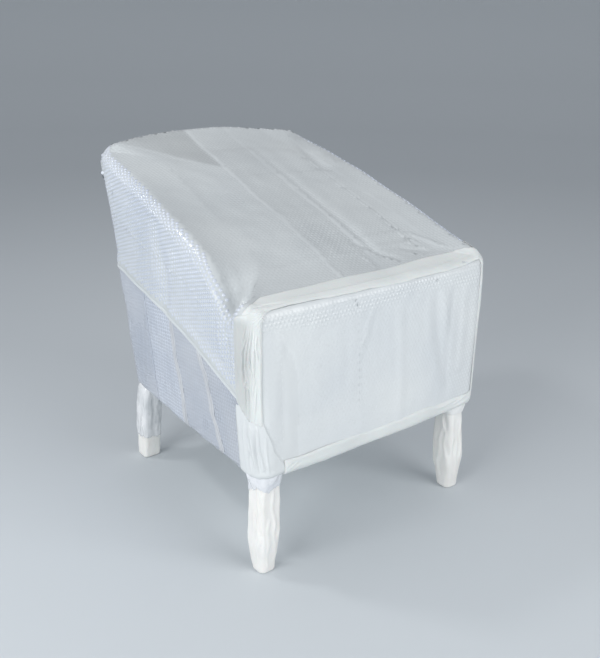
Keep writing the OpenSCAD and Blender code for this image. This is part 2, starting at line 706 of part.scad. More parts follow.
foot_r = 5;
leg_places = [for (side = [0:3]) each [for (g = [0, 0.06, 0.12, 0.5, 0.88, 0.94]) side + g]];
function leg_top_z(y) = under_z(y) - 2 * layer_gap;
function leg_half(leg, t) =
    (mix(leg[3], leg[2], ease(t * 2.6)) + leg[4] * (sin(400 * t) * 0.6 + sin(180 * ease(t * 1.4 - 0.3)))) / 2;
function lap_turn(leg, u) = u > leg[5] + 0.5 && u < leg[5] + 3.2 ? leg_lap : 0;
function leg_point(leg, u, t, d) =
    let (
        c = mix(leg[0], leg[1], t),
        a = leg_half(leg, t) + d - leg_lap / 2,
        r = leg_half(leg, t) * 0.5,
        lap = lap_turn(leg, u),
        p = plan_point(u, a + lap, -a - lap, a + lap, r, r),
        at = [c.x + p.x, c.y + p.y]
    )
    [at.x, at.y, t * leg_top_z(at.y)];
module wrapped_leg(leg) {
    // The foot's edge is rounded: the lowest ring stands in by the radius
    ts = [0, 0.007, 0.022, 0.2, 0.4, 0.6, 0.8, 1];
    inset = [foot_r, foot_r * 0.3, 0, 0, 0, 0, 0, 0];
    rings = [for (k = [0:len(ts) - 1]) [for (u = leg_places) leg_point(leg, u, ts[k], -inset[k])]];
    n = len(leg_places);
    last = n * (len(ts) - 1);
    count = n * len(ts);
    top = leg[1];
    color("white")
        polyhedron(
            points = concat(flat(rings), [[leg[0].x, leg[0].y, 0], [top.x, top.y, leg_top_z(top.y)]]),
            faces = concat(
                band_faces(len(ts), n, true, 0, false),
                [for (k = [0:n - 1]) [k, (k + 1) % n, count]],
                [for (k = [0:n - 1]) [last + (k + 1) % n, last + k, count + 1]]
            ),
            convexity = 4
        );
}
module front_left_leg() wrapped_leg(front_left);
module front_right_leg() wrapped_leg(front_right);
module back_left_leg() wrapped_leg(back_left);
module back_right_leg() wrapped_leg(back_right);

// Film round the top of a leg, over drop, with points of the given length along its lower edge. flare is
// how far it stands off at its top.
module leg_film(leg, drop, points, flare) {
    height = leg_top_z(leg[1].y);
    rows = [0, 0.5, 1];
    low_t = function(c) 1 - (drop - (c % 4 == 0 ? 0 : c % 4 == 2 ? points : points / 2)) / height;
    stand = function(r) layer_gap + flare * ease(rows[r] * 2 - 1);
    grid = function(d) [for (r = [0:len(rows) - 1]) [for (c = [0:len(leg_places) - 1])
        leg_point(leg, leg_places[c], mix(low_t(c), 1, rows[r]), stand(r) + d)]];
    sheet(grid(sleeve_t), grid(0), true);
}
skirt_flare = 3;
module front_left_skirt() color("aliceblue") leg_film(front_left, skirt_h, skirt_point, skirt_flare);
module front_right_skirt() color("aliceblue") leg_film(front_right, skirt_h, skirt_point, skirt_flare);
module back_left_sleeve() color("aliceblue", 0.6) leg_film(back_left, sleeve_h, 0, 0);
module back_right_sleeve() color("aliceblue", 0.6) leg_film(back_right, sleeve_h, 0, 0);

padded_body();
top_sheet();
front_sheet();
back_sheet();
left_rear_sheet();
left_middle_sheet();
left_front_sheet();
right_side_sheet();
rear_seam_strip();
front_seam_strip();
edge_band();
bottom_band();
corner_wrap();
front_left_leg();
front_right_leg();
back_left_leg();
back_right_leg();
front_left_skirt();
front_right_skirt();
back_left_sleeve();
back_right_sleeve();
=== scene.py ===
"""Dresses the wrapped armchair: bubble film, foam strips and foam-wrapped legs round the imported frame."""

import logging
import math
from dataclasses import dataclass, field, replace
from enum import Enum
from typing import Callable, Optional, Sequence

import bmesh
import bpy
import numpy as np
from mathutils import Matrix, Vector, noise
from mathutils.bvhtree import BVHTree


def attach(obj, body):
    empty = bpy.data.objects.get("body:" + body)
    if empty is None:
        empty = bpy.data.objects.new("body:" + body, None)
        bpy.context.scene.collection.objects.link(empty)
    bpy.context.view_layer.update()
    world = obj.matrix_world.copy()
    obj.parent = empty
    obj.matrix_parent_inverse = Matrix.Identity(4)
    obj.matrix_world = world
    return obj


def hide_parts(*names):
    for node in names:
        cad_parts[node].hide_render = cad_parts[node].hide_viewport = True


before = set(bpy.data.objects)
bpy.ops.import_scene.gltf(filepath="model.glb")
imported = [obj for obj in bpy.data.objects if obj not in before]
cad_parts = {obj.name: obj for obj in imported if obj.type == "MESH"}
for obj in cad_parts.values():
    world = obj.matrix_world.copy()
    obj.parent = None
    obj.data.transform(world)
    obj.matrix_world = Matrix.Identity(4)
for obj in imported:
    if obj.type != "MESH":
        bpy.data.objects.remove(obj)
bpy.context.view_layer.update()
LOG = logging.getLogger("wrapped_armchair")
MM = 0.001
WELD = 2e-5         # corners closer than this are joined, in metres
Points = np.ndarray
Triple = tuple[float, float, float]


# --------------------------------------------------------------------------- the chair's surface
@dataclass(frozen=True)
class ChairSkin:
    """Smooth outer surface of the padded chair, in millimetres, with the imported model's own sizes.

    A place on it is u, 0 to 4 round the chair from the front left corner and anticlockwise from above,
    and v: -1 to 0 round the bottom edge, 0 to 1 up the wall, 1 to 2 over the rim, 2 to 3 over the top.
    """

    front_w: float = 666.0
    back_w: float = 596.0
    front_side_lean: float = 15.0
    back_side_lean: float = 33.0
    bottom_d: float = 628.0
    front_y: float = 354.0
    front_lean: float = 15.0
    back_lean: float = 70.0
    front_r: float = 36.0
    back_r: float = 38.0
    front_bow: float = 5.0
    back_bow: float = 18.0
    side_bow: float = 4.0
    under_front: float = 233.0
    under_back: float = 214.0
    rim_front: float = 584.0
    rim_back: float = 800.0
    back_arch: float = 26.0
    arm_crown: float = 14.0
    rim_r: float = 22.0
    bottom_r: float = 14.0
    right_rise: float = 6.0
    film_front: float = 567.0
    film_back: float = 814.0
    film_crown: float = 10.0
    film_reach: float = 95.0
    pinch_depth: float = 58.0
    pinch_back: float = 74.0
    pinch_len: float = 58.0
    pinch_front_len: float = 28.0
    hem_front: float = 378.0
    hem_back: float = 526.0
    hem_bow: float = 26.0
    corner: float = 0.12

    @property
    def straight(self) -> float:
        """Share of a side between its two half corners."""
        return 1.0 - 2.0 * self.corner

    @property
    def strip_place(self) -> float:
        """Place behind the front corners where the corner strips end on the sides."""
        length = self.bottom_d + (self.back_lean + self.front_lean) / 2 - self.front_r - self.back_r
        return self.corner + self.straight * 32.0 / length

    def front_half(self, z: Points) -> Points:
        """Half width at the front at height z."""
        drop = (self.rim_front - z) / (self.rim_front - self.under_front)
        return self.front_w / 2 - self.front_side_lean * drop

    def back_half(self, z: Points) -> Points:
        """Half width at the back at height z."""
        return self.back_w / 2 - self.back_side_lean * (self.rim_back - z) / (self.rim_back - self.under_back)

    def front_at(self, z: Points) -> Points:
        """Place of the front wall at height z."""
        return -self.front_y + self.front_lean * (z - self.under_front) / (self.rim_front - self.under_front)

    def back_at(self, z: Points) -> Points:
        """Place of the back wall at height z."""
        rise = (z - self.under_back) / (self.rim_back - self.under_back)
        return self.bottom_d - self.front_y + self.back_lean * rise

    def side_point(self, g: Points, half: Points, r0: Points, r1: Points) -> tuple[Points, Points]:
        """Point on one side of a rounded rectangle.

        Args:
            g: place along the side, 0 to 1.
            half: half the side's length.
            r0: radius of the corner before the side.
            r1: radius of the corner after the side.

        Returns:
            Distance along the side from its middle, and distance inwards.
        """
        turn0 = np.radians(45 * (1 - np.minimum(g, self.corner) / self.corner))
        turn1 = np.radians(45 * np.maximum(g - 1 + self.corner, 0) / self.corner)
        share = (g - self.corner) / self.straight
        ends = [g < self.corner, g > 1 - self.corner]
        middle = (half - r1) * share - (half - r0) * (1 - share)
        along = np.select(ends, [-(half - r0) - r0 * np.sin(turn0), half - r1 + r1 * np.sin(turn1)], middle)
        return along, np.select(ends, [r0 * (1 - np.cos(turn0)), r1 * (1 - np.cos(turn1))], 0)

    def plan(self, u: Points, w: Points, y0: Points, y1: Points, rf: Points, rb: Points) -> tuple[Points, Points]:
        """Point in plan on a rounded rectangle between y0 and y1, half width w, at place u."""
        side = np.floor(u).astype(int) % 4
        g = u - np.floor(u)
        half_d, mid = (y1 - y0) / 2, (y0 + y1) / 2
        a0, b0 = self.side_point(g, w, rf, rf)
        a1, b1 = self.side_point(g, half_d, rf, rb)
        a2, b2 = self.side_point(g, w, rb, rb)
        a3, b3 = self.side_point(g, half_d, rb, rf)
        x = np.select([side == 0, side == 1, side == 2], [a0, w - b1, -a2], -w + b3)
        y = np.select([side == 0, side == 1, side == 2], [y0 + b0, mid + a1, y1 - b2], mid - a3)
        return x, y

    def outline(self, u: Points, z: Points, off: Points) -> tuple[Points, Points]:
        """Outline in plan at height z, moved outwards by off."""
        w0 = (self.front_half(z) + self.back_half(z)) / 2
        w, y0, y1 = w0 + off, self.front_at(z) - off, self.back_at(z) + off
        x, y = self.plan(u, w, y0, y1, np.maximum(12, self.front_r + off), np.maximum(12, self.back_r + off))
        xn, yn = x / w, (2 * y - y0 - y1) / (y1 - y0)
        t = (yn + 1) / 2
        taper = (self.front_half(z) * (1 - t) + self.back_half(z) * t) / w0
        bow = -self.front_bow * (1 - t) + self.back_bow * t
        return x * taper + self.side_bow * xn * (1 - yn * yn), y + bow * (1 - xn * xn)

    def rim(self, u: Points) -> Points:
        """Height of the rim at place u."""
        half_d = (self.bottom_d + self.back_lean - self.front_lean) / 2
        x, y = self.plan(u, (self.front_w + self.back_w) / 4, -half_d, half_d, self.front_r, self.back_r)
        sx, sy = x / ((self.front_w + self.back_w) / 4), y / half_d
        t = (sy + 1) / 2
        ahead = self.pinch_back - (sy + 1) * half_d
        reach = np.where(ahead > 0, self.pinch_front_len, self.pinch_len)
        pinch = np.where(sx < 0, self.pinch_depth * ease(-4 * sx - 3) * bell(ahead, reach), 0)
        return (
            self.rim_front * (1 - t) + self.rim_back * t
            + self.back_arch * (1 - sx * sx) * np.maximum(0, sy) ** 3
            + self.arm_crown * np.sin(np.pi * t) * sx * sx
            + self.right_rise * ease((sx - 0.7) / 0.3) * ease((-sy - 0.5) / 0.5)
            - pinch
        )

    def film(self, y: Points) -> Points:
        """Height of the film stretched over the seat at place y."""
        y0, y1 = self.front_at(self.rim_front), self.back_at(self.rim_back)
        t = np.clip((y - y0) / (y1 - y0), 0, 1)
        return self.film_front * (1 - t) + self.film_back * t + self.film_crown * np.sin(np.pi * t)

    def under(self, y: Points) -> Points:
        """Height of the underside at place y."""
        return self.under_front + (self.under_back - self.under_front) * (y + self.front_y) / self.bottom_d

    def under_at(self, u: Points) -> Points:
        """Height of the underside below place u."""
        return self.under(self.outline(u, np.full_like(u, self.under_front), 0)[1])

    def hem(self, y: Points) -> Points:
        """Height of the hood's hem at place y."""
        t = np.clip((y + self.front_y) / (self.bottom_d + self.back_lean), 0, 1)
        return self.hem_front * (1 - t) + self.hem_back * t + self.hem_bow * np.sin(np.pi * t)

    def hem_at(self, u: Points) -> Points:
        """Height of the hood's hem at place u."""
        return self.hem(self.outline(u, np.full_like(u, self.hem_front), 0)[1])

    def wall_v(self, u: Points, z: Points) -> Points:
        """Share of the wall's height at which height z lies."""
        low = self.under_at(u) + self.bottom_r
        return (z - low) / (self.rim(u) - self.rim_r - low)

    def left_u(self, y: Points, z: Points) -> Points:
        """Place on the left side at which y lies, at height z."""
        y0, y1 = self.front_at(z), self.back_at(z)
        share = (y1 - self.back_r - y) / (y1 - y0 - self.front_r - self.back_r)
        return 3 + self.corner + self.straight * share

    def at(self, u: Points, v: Points, d: Points) -> Points:
        """Points at places (u, v), moved outwards by d.

        Args:
            u: places round the chair.
            v: places up and over it.
            d: distances out from the surface.

        Returns:
            The points, in millimetres, with a last axis of 3.
        """
        u, v, d = np.broadcast_arrays(*(np.asarray(a, float) for a in (u, v, d)))
        top, low = self.rim(u), self.under_at(u)
        low_turn = np.radians(-90 * np.clip(v, -1, 0))
        rim_turn = np.radians(90 * (np.clip(v, 1, 2) - 1))
        s = np.clip(v - 2, 0, 1)
        wall = low + self.bottom_r + (top - self.rim_r - low - self.bottom_r) * np.clip(v, 0, 1)
        centre = np.select([v < 0, v <= 1], [low + self.bottom_r, wall], top - self.rim_r)
        parts, low_r, rim_r = [v < 0, v <= 1, v <= 2], self.bottom_r + d, self.rim_r + d
        off = [low_r * np.cos(low_turn) - self.bottom_r, d, rim_r * np.cos(rim_turn) - self.rim_r]
        x, y = self.outline(u, centre, np.select(parts, off, -self.rim_r - s * self.film_reach))
        rim_y = self.outline(u, top - self.rim_r, -self.rim_r + 0 * u)[1]
        over = self.film(y) + (top - self.film(rim_y)) * (1 - s) ** 2 + d
        z = [centre - low_r * np.sin(low_turn), centre, centre + rim_r * np.sin(rim_turn)]
        return np.stack([x, y, np.select(parts, z, over)], -1)


def ease(t: Points) -> Points:
    """Smooth step from 0 to 1 as t runs from 0 to 1."""
    c = np.clip(t, 0, 1)
    return c * c * (3 - 2 * c)


def bell(x: Points, width: float) -> Points:
    """Bell curve, 1 at 0, that fades over the width on both sides."""
    return np.exp(-((x / width) ** 2))


def spot(at: Points, x: float, y: float, wide: float, long: float) -> Points:
    """Round spot in plan, 1 at its middle, taken at each of the points."""
    return np.exp(-(((at[:, 0] - x) / wide) ** 2 + ((at[:, 1] - y) / long) ** 2))


SKIN = ChairSkin()
FILM_OUT = 2.4              # outer face of the first film, without its bubbles
SECOND_OUT = 6.3            # outer face of a second layer
BAND_LOW = FILM_OUT + 0.9   # border of a foam strip
BAND_OUT = FILM_OUT + 2.4   # outer face of a foam strip
FILM_THICK, FOAM_THICK = 1.2, 0.9  # thickness of bubble film and of a foam strip
FOLD_REACH = 16             # a fold's path this near to a sheet is moved on to it


# --------------------------------------------------------------------------- folds and wrinkles
class Profile(Enum):
    """Cross-section of a fold."""

    SOFT = "soft"
    RIDGE = "ridge"


@dataclass(frozen=True)
class Fold:
    """A fold that runs along a path on a sheet.

    Attributes:
        path: points of the path, in millimetres.
        width: half of its width.
        height: how far it stands out, or in when negative.
        profile: its cross-section.
    """

    path: tuple[Triple, ...]
    width: float
    height: float
    profile: Profile = Profile.SOFT

    def lift(self, points: Points) -> Points:
        """How far the fold moves each of the points."""
        pts = np.asarray(self.path, float)
        lengths = np.linalg.norm(np.diff(pts, axis=0), axis=1)
        total, run = lengths.sum(), 0.0
        best = np.full(points.shape[:-1], 1e9)
        along = np.zeros(points.shape[:-1])
        for start, end, length in zip(pts[:-1], pts[1:], lengths):
            way = (end - start) / length
            t = np.clip((points - start) @ way, 0, length)
            far = np.linalg.norm(points - start - t[..., None] * way, axis=-1)
            nearer = far < best
            best = np.where(nearer, far, best)
            along = np.where(nearer, (run + t) / total, along)
            run += length
        taper = np.sqrt(np.clip(4.5 * along * (1 - along), 0, 1))
        r = best / self.width
        shape = np.exp(-r * r) if self.profile is Profile.SOFT else np.clip(1 - r, 0, 1) ** 1.5
        return self.height * shape * taper


def wall_path(u: Points, z: Points) -> tuple[Triple, ...]:
    """Path on the wall through places round the chair at the given heights."""
    return tuple(map(tuple, SKIN.at(u, SKIN.wall_v(u, z), FILM_OUT)))


def left_path(*places: tuple[float, float]) -> tuple[Triple, ...]:
    """Path on the left side through places given as (y, height)."""
    y, z = np.array(places, float).T
    return wall_path(SKIN.left_u(y, z), z)


def front_path(*places: tuple[float, float]) -> tuple[Triple, ...]:
    """Path on the front through places given as (x, height)."""
    x, z = np.array(places, float).T
    half = SKIN.front_half(z) - SKIN.front_r
    return wall_path(SKIN.corner + SKIN.straight * (x + half) / (2 * half), z)


@dataclass(frozen=True)
class Crinkle:
    """Fine unevenness of a sheet.

    Attributes:
        size: size of the crinkles, in millimetres.
        height: their height.
        seed: which of many such patterns it is.
        stretch: how much longer they are along each axis.
    """

    size: float
    height: float
    seed: float
    stretch: Triple = (1.0, 1.0, 1.0)

    def lift(self, points: Points) -> Points:
        """How far the crinkles move each of the points."""
        scaled = points.reshape(-1, 3) / (self.size * np.asarray(self.stretch)) + self.seed * 17.3
        found = np.fromiter((noise.noise(Vector(p)) for p in scaled), float, len(scaled))
        return self.height * found.reshape(points.shape[:-1])


@dataclass(frozen=True)
class Laps:
    """Laps of the film that run from the front to the back, each a step that runs out to one side.

    Attributes:
        places: places of the laps, as shares of the half width.
        height: height of a lap.
    """

    places: tuple[float, ...]
    height: float

    def past(self, points: Points) -> list[Points]:
        """How far to the right of each lap the points lie."""
        half = np.interp(points[..., 1], (-340, 344), (SKIN.front_w / 2, SKIN.back_w / 2))
        wave = 3 * np.sin(points[..., 1] / 61) + 1.5 * np.sin(points[..., 1] / 23 + 1)
        return [points[..., 0] + wave - lap * half for lap in self.places]

    def lift(self, points: Points) -> Points:
        """How far the laps raise each of the points."""
        return self.height * sum(ease(past / 2.5) * np.exp(-np.maximum(past, 0) / 50) for past in self.past(points))


@dataclass(frozen=True)
class Layer:
    """A layer on the skin.

    Attributes:
        offset: how far out it lies, as a number or as a function of u and v.
        fields: its folds, laps and crinkles.
    """

    offset: object
    fields: tuple = ()

    def at(self, u: Points, v: Points) -> Points:
        """Points of the layer at places (u, v)."""
        u, v = np.broadcast_arrays(np.asarray(u, float), np.asarray(v, float))
        base = SKIN.at(u, v, self.offset(u, v) if callable(self.offset) else self.offset)
        if not self.fields:
            return base
        across = SKIN.at(u + 0.003, v, 0) - SKIN.at(u - 0.003, v, 0)
        up = SKIN.at(u, v + 0.008, 0) - SKIN.at(u, v - 0.008, 0)
        n = np.cross(across, up)
        n /= np.maximum(np.linalg.norm(n, axis=-1, keepdims=True), 1e-9)
        return base + n * sum(f.lift(base) for f in self.fields)[..., None]

    def patch(self, u: Points, v: Points, closed: bool = False) -> "Patch":
        """The layer's patch on a grid of places."""
        return Patch(self.at(u, v), closed)

    def settled(self, u: Points, v: Points) -> "Layer":
        """The layer with its folds laid on its own unfolded surface, over a grid of places."""
        return Layer(self.offset, Layer(self.offset).patch(u, v).settle(self.fields))


@dataclass(frozen=True)
class PaintedShadingRegion:
    """A part of the plan between straight edges, painted darker as painted shade or lighter as painted light.

    Attributes:
        edges: for each edge a point on it and the direction into the region.
        amount: how much painted light it adds, or painted shade when negative.
        soft: width over which it fades in.
    """

    edges: tuple[tuple[tuple[float, float], tuple[float, float]], ...]
    amount: float
    soft: float

    def tone(self, points: Points) -> Points:
        """Change of tone at each of the points."""
        inside = np.ones(points.shape[:-1])
        for (px, py), (nx, ny) in self.edges:
            far = ((points[..., 0] - px) * nx + (points[..., 1] - py) * ny) / math.hypot(nx, ny)
            inside = inside * ease(0.5 + far / self.soft)
        return self.amount * inside


# --------------------------------------------------------------------------- grids of points
@dataclass
class Patch:
    """A grid of points on the skin, with the place of each on the flat sheet.

    Attributes:
        points: rows by columns by 3, in millimetres.
        closed: whether the last column meets the first.
    """

    points: Points
    closed: bool = False

    def border(self, width: float, sides: str = "lrbt") -> Points:
        """Mask that is 0 on the given sides of the grid and 1 further in than the width."""
        mask = np.ones(self.points.shape[:2])
        for axis, low, high in ((1, "l", "r"), (0, "b", "t")):
            steps = np.linalg.norm(np.diff(self.points, axis=axis), axis=-1)
            run = np.cumsum(steps, axis=axis)
            run = np.concatenate([np.zeros_like(run.take([0], axis)), run], axis)
            if low in sides:
                mask = mask * ease(run / width)
            if high in sides:
                mask = mask * ease((run.take([-1], axis) - run) / width)
        return mask

    def normals(self) -> Points:
        """Unit normals of the grid's points."""
        p = self.points
        if self.closed:
            across = np.roll(p, -1, 1) - np.roll(p, 1, 1)
            across[:, 0] = p[:, 1] - p[:, -2]
            across[:, -1] = across[:, 0]
        else:
            across = np.gradient(p, axis=1)
        n = np.cross(across, np.gradient(p, axis=0))
        return n / np.maximum(np.linalg.norm(n, axis=-1, keepdims=True), 1e-9)

    def settle(self, fields: Sequence) -> tuple:
        """The fields with the paths of their folds, where they run near it, moved straight on to the patch."""
        cloud, normals = self.points.reshape(-1, 3), self.normals().reshape(-1, 3)
        settled = []
        for f in fields:
            if isinstance(f, Fold):
                path = np.array(f.path, float)
                near = np.argmin(((cloud[None] - path[:, None]) ** 2).sum(-1), axis=1)
                n = normals[near]
                gap = np.sum((path - cloud[near]) * n, axis=1, keepdims=True)
                path = path - n * np.where(np.abs(gap) < FOLD_REACH, gap, 0)
                f = replace(f, path=tuple(map(tuple, path)))
            settled.append(f)
        return tuple(settled)

    def lifted(self, fields: Sequence, mask: Optional[Points] = None) -> "Patch":
        """The patch with its points moved along their normals by each field in turn.

        Args:
            fields: folds and crinkles, each with a lift method.
            mask: share of the movement that each point takes.

        Returns:
            A new patch.
        """
        total = sum(f.lift(self.points) for f in fields)
        if mask is not None:
            total = total * mask
        moved = self.points + self.normals() * total[..., None]
        if self.closed:
            moved[:, -1] = moved[:, 0]
        return Patch(moved, self.closed)

    def flat(self) -> tuple[Points, Points]:
        """Distances across and up the flat sheet, for the columns and for the rows."""
        rows, cols = self.points.shape[:2]
        return run_along(self.points[rows // 2]), run_along(self.points[:, cols // 2])

    def mesh(self, bm: bmesh.types.BMesh, keep: Optional[Points] = None, tone: Optional[Points] = None) -> None:
        """Adds the patch to a bmesh, with its flat places as the UV map.

        Args:
            bm: the bmesh to add to.
            keep: which cells stay, rows less one by columns less one.
            tone: tone of each point, 1 where it is the finish's own.
        """
        rows, cols = self.points.shape[:2]
        flat_u, flat_v = self.flat()
        piece = bmesh.new()
        uv = piece.loops.layers.uv.new("flat")
        shade = piece.verts.layers.float.new("tone")
        bmesh.ops.create_grid(piece, x_segments=cols - 1, y_segments=rows - 1, size=0.5)
        piece.verts.ensure_lookup_table()
        ij = [(round((v.co.x + 0.5) * (cols - 1)), round((v.co.y + 0.5) * (rows - 1))) for v in piece.verts]
        gone = []
        for f in piece.faces:
            for loop in f.loops:
                i, j = ij[loop.vert.index]
                loop[uv].uv = (flat_u[i] * MM, flat_v[j] * MM)
            i, j = (min(ij[v.index][k] for v in f.verts) for k in (0, 1))
            if keep is not None and not keep[j, i]:
                gone.append(f)
        for v, (i, j) in zip(piece.verts, ij):
            v.co = self.points[j, i] * MM
            v[shade] = 1.0 if tone is None else tone[j, i]
        bmesh.ops.delete(piece, geom=gone, context="FACES")
        mesh = bpy.data.meshes.new("patch")
        piece.to_mesh(mesh)
        piece.free()
        bm.from_mesh(mesh)
        bpy.data.meshes.remove(mesh)


def run_along(line: Points) -> Points:
    """How far along a line of points each of them lies."""
    return np.concatenate([[0], np.cumsum(np.linalg.norm(np.diff(line, axis=0), axis=1))])


def spans(*stops: float) -> Points:
    """Places along a line, given as its stops with the number of steps after each but the last.

    Args:
        stops: a stop, a count, a stop and so on; the last count takes in the last stop.

    Returns:
        The places in order.
    """
    ends, counts = stops[::2], stops[1::2]
    parts = [np.linspace(a, b, n, endpoint=False) for a, b, n in zip(ends, ends[1:], counts)]
    return np.concatenate([*parts[:-1], np.linspace(ends[-2], ends[-1], counts[-1])])


def all_round(steps: int, corner_steps: int = 5) -> Points:
    """Places all round the chair, from 0 to 4, close together round its corners."""
    c = SKIN.corner
    side = spans(0, corner_steps, c, steps, 1 - c, corner_steps + 1, 1)[:-1]
    return np.concatenate([side + k for k in range(4)] + [[4.0]])


def inner_mask(n: int) -> Points:
    """Mask that is 0 on the border of a square grid of n cells a side and 1 further in."""
    t = np.linspace(0, 1, n + 1)
    edge = ease(np.minimum(t, 1 - t) * 10)
    return edge[:, None] * edge[None]


def coons(ring: Points, na: int, nb: int) -> Points:
    """Grid of points that fills a ring of 2 * (na + nb) points, with its rows from front to back."""
    front, right = ring[: na + 1], ring[na : na + nb + 1]
    back, left = ring[na + nb : 2 * na + nb + 1][::-1], np.concatenate([ring[2 * na + nb :], ring[:1]])[::-1]
    s = np.linspace(0, 1, na + 1)[None, :, None]
    t = np.linspace(0, 1, nb + 1)[:, None, None]
    across = left[:, None] * (1 - s) + right[:, None] * s
    along = front[None] * (1 - t) + back[None] * t
    low = front[0] * (1 - s) + front[-1] * s
    high = back[0] * (1 - s) + back[-1] * s
    return across + along - (low * (1 - t) + high * t)


# --------------------------------------------------------------------------- finishes
HAZE_LOW, HAZE_HIGH = 0.3, 0.7


def node(tree: bpy.types.NodeTree, kind: str, values: Optional[dict] = None, **traits: object) -> bpy.types.Node:
    """Adds a shader node.

    Args:
        tree: the tree that it goes into.
        kind: its type, without the word in front.
        values: constants for its inputs.
        traits: its own settings.

    Returns:
        The node.
    """
    made = tree.nodes.new("ShaderNode" + kind)
    for name, value in traits.items():
        setattr(made, name, value)
    for name, value in (values or {}).items():
        made.inputs[name].default_value = value
    return made


def crinkle_group() -> bpy.types.NodeTree:
    """Node group for film and foam, made once: the height of the crinkles and a haze mask."""
    group = bpy.data.node_groups.get("crinkled_film")
    if group:
        return group
    group = bpy.data.node_groups.new("crinkled_film", "ShaderNodeTree")
    for name, way in (("Crinkle Scale", "INPUT"), ("Haze Scale", "INPUT"), ("Height", "OUTPUT"), ("Haze", "OUTPUT")):
        group.interface.new_socket(name=name, in_out=way, socket_type="NodeSocketFloat")
    inp, out = group.nodes.new("NodeGroupInput"), group.nodes.new("NodeGroupOutput")
    coord = node(group, "TexCoord")
    fine = node(group, "TexNoise", {"Detail": 3.0, "Distortion": 0.6})
    broad = node(group, "TexNoise", {"Detail": 2.0})
    fibre = node(group, "TexVoronoi", feature="DISTANCE_TO_EDGE")
    add = node(group, "Math", {1: 0.35}, operation="MULTIPLY_ADD")
    half = node(group, "Math", {1: 0.45}, operation="MULTIPLY")
    for texture in (fine, broad, fibre):
        group.links.new(coord.outputs["Object"], texture.inputs["Vector"])
    for source, target in (
        (inp.outputs["Crinkle Scale"], fine.inputs["Scale"]),
        (inp.outputs["Crinkle Scale"], half.inputs[0]),
        (half.outputs[0], fibre.inputs["Scale"]),
        (inp.outputs["Haze Scale"], broad.inputs["Scale"]),
        (fibre.outputs["Distance"], add.inputs[0]),
        (fine.outputs["Fac"], add.inputs[2]),
        (add.outputs[0], out.inputs["Height"]),
        (broad.outputs["Fac"], out.inputs["Haze"]),
    ):
        group.links.new(source, target)
    return group


@dataclass(frozen=True)
class Finish:
    """A film or foam finish.

    Attributes:
        name: name of the material.
        slot: the record's slot that it belongs to; not used.
        dark: colour where the sheet is clearest.
        light: colour where it is milkiest.
        rough: lowest and highest roughness.
        coat: weight of the clear gloss over it.
        coat_rough: roughness of that gloss.
        crinkle: scale of the crinkles, per metre.
        bump: height of the crinkles, in metres.
        haze: scale of the milky patches, per metre.
        sheen: weight of the soft sheen.
        subsurface: how much light goes into it.
    """

    name: str
    slot: str
    dark: Triple
    light: Triple
    rough: tuple[float, float]
    coat: float
    coat_rough: float
    crinkle: float
    bump: float
    haze: float
    sheen: float = 0.0
    subsurface: float = 0.0

    def material(self) -> bpy.types.Material:
        """The material, made once."""
        made = bpy.data.materials.get(self.name)
        if made:
            return made
        made = bpy.data.materials.new(self.name)
        made.use_nodes = True
        tree = made.node_tree
        shader = tree.nodes["Principled BSDF"]
        scales = {"Crinkle Scale": self.crinkle, "Haze Scale": self.haze}
        relief = node(tree, "Group", scales, node_tree=crinkle_group())
        ramp = node(tree, "ValToRGB")
        for stop, place, colour in zip(ramp.color_ramp.elements, (HAZE_LOW, HAZE_HIGH), (self.dark, self.light)):
            stop.position = place
            stop.color = (*colour, 1.0)
        low, high = self.rough
        rough = node(tree, "MapRange", {"From Min": HAZE_LOW, "From Max": HAZE_HIGH, "To Min": low, "To Max": high})
        bump = node(tree, "Bump", {"Strength": 1.0, "Distance": self.bump})
        tone = node(tree, "Attribute", attribute_name="tone")
        toned = node(tree, "VectorMath", operation="SCALE")
        for source, target in (
            (relief.outputs["Haze"], ramp.inputs["Fac"]),
            (relief.outputs["Haze"], rough.inputs["Value"]),
            (relief.outputs["Height"], bump.inputs["Height"]),
            (ramp.outputs["Color"], toned.inputs[0]),
            (tone.outputs["Fac"], toned.inputs["Scale"]),
            (toned.outputs["Vector"], shader.inputs["Base Color"]),
            (rough.outputs["Result"], shader.inputs["Roughness"]),
            (bump.outputs["Normal"], shader.inputs["Normal"]),
        ):
            tree.links.new(source, target)
        shader.inputs["Coat Weight"].default_value = self.coat
        shader.inputs["Coat Roughness"].default_value = self.coat_rough
        shader.inputs["Sheen Weight"].default_value = self.sheen
        shader.inputs["Subsurface Weight"].default_value = self.subsurface
        shader.inputs["Subsurface Scale"].default_value = 0.004
        return made


# HOOD_FILM, SIDE_FILM and FRONT_FILM are copies of one bubble film for the top, the walls and the front; their
# lightness apart is partly painted light and painted shade for how each face is lit
HOOD_FILM = Finish(
    "hood_film", "bubble_film", (0.525, 0.56, 0.577), (0.592, 0.625, 0.636), (0.26, 0.4), 0.4, 0.16, 60, 0.0004, 4,
)
SIDE_FILM = Finish(
    "side_film", "bubble_film", (0.50, 0.55, 0.642), (0.61, 0.65, 0.72), (0.2, 0.36), 0.6, 0.1, 80, 0.0004, 6,
)
FRONT_FILM = Finish(
    "front_film", "bubble_film", (0.66, 0.695, 0.717), (0.725, 0.755, 0.762), (0.28, 0.44), 0.4, 0.16, 90, 0.0004, 5,
)
FOAM = Finish(
    "white_foam", "foam", (0.67, 0.70, 0.695), (0.74, 0.765, 0.755), (0.5, 0.68), 0.1, 0.4, 200, 0.0003, 9, 0.2, 0.05,
)
LEG_FOAM = Finish(
    "leg_foam", "foam", (0.80, 0.795, 0.765), (0.87, 0.87, 0.85), (0.42, 0.6), 0.2, 0.3, 130, 0.0008, 12, 0.2, 0.03,
)
SEAM_FILM = Finish(
    "seam_fold_film", "seam_film", (0.50, 0.52, 0.555), (0.58, 0.60, 0.625), (0.4, 0.55), 0.08, 0.3, 110, 0.0005, 30,
)
SKIRT_FILM = Finish(
    "skirt_film", "clear_film", (0.72, 0.745, 0.79), (0.83, 0.845, 0.87), (0.18, 0.32), 0.7, 0.1, 70, 0.001, 26,
)
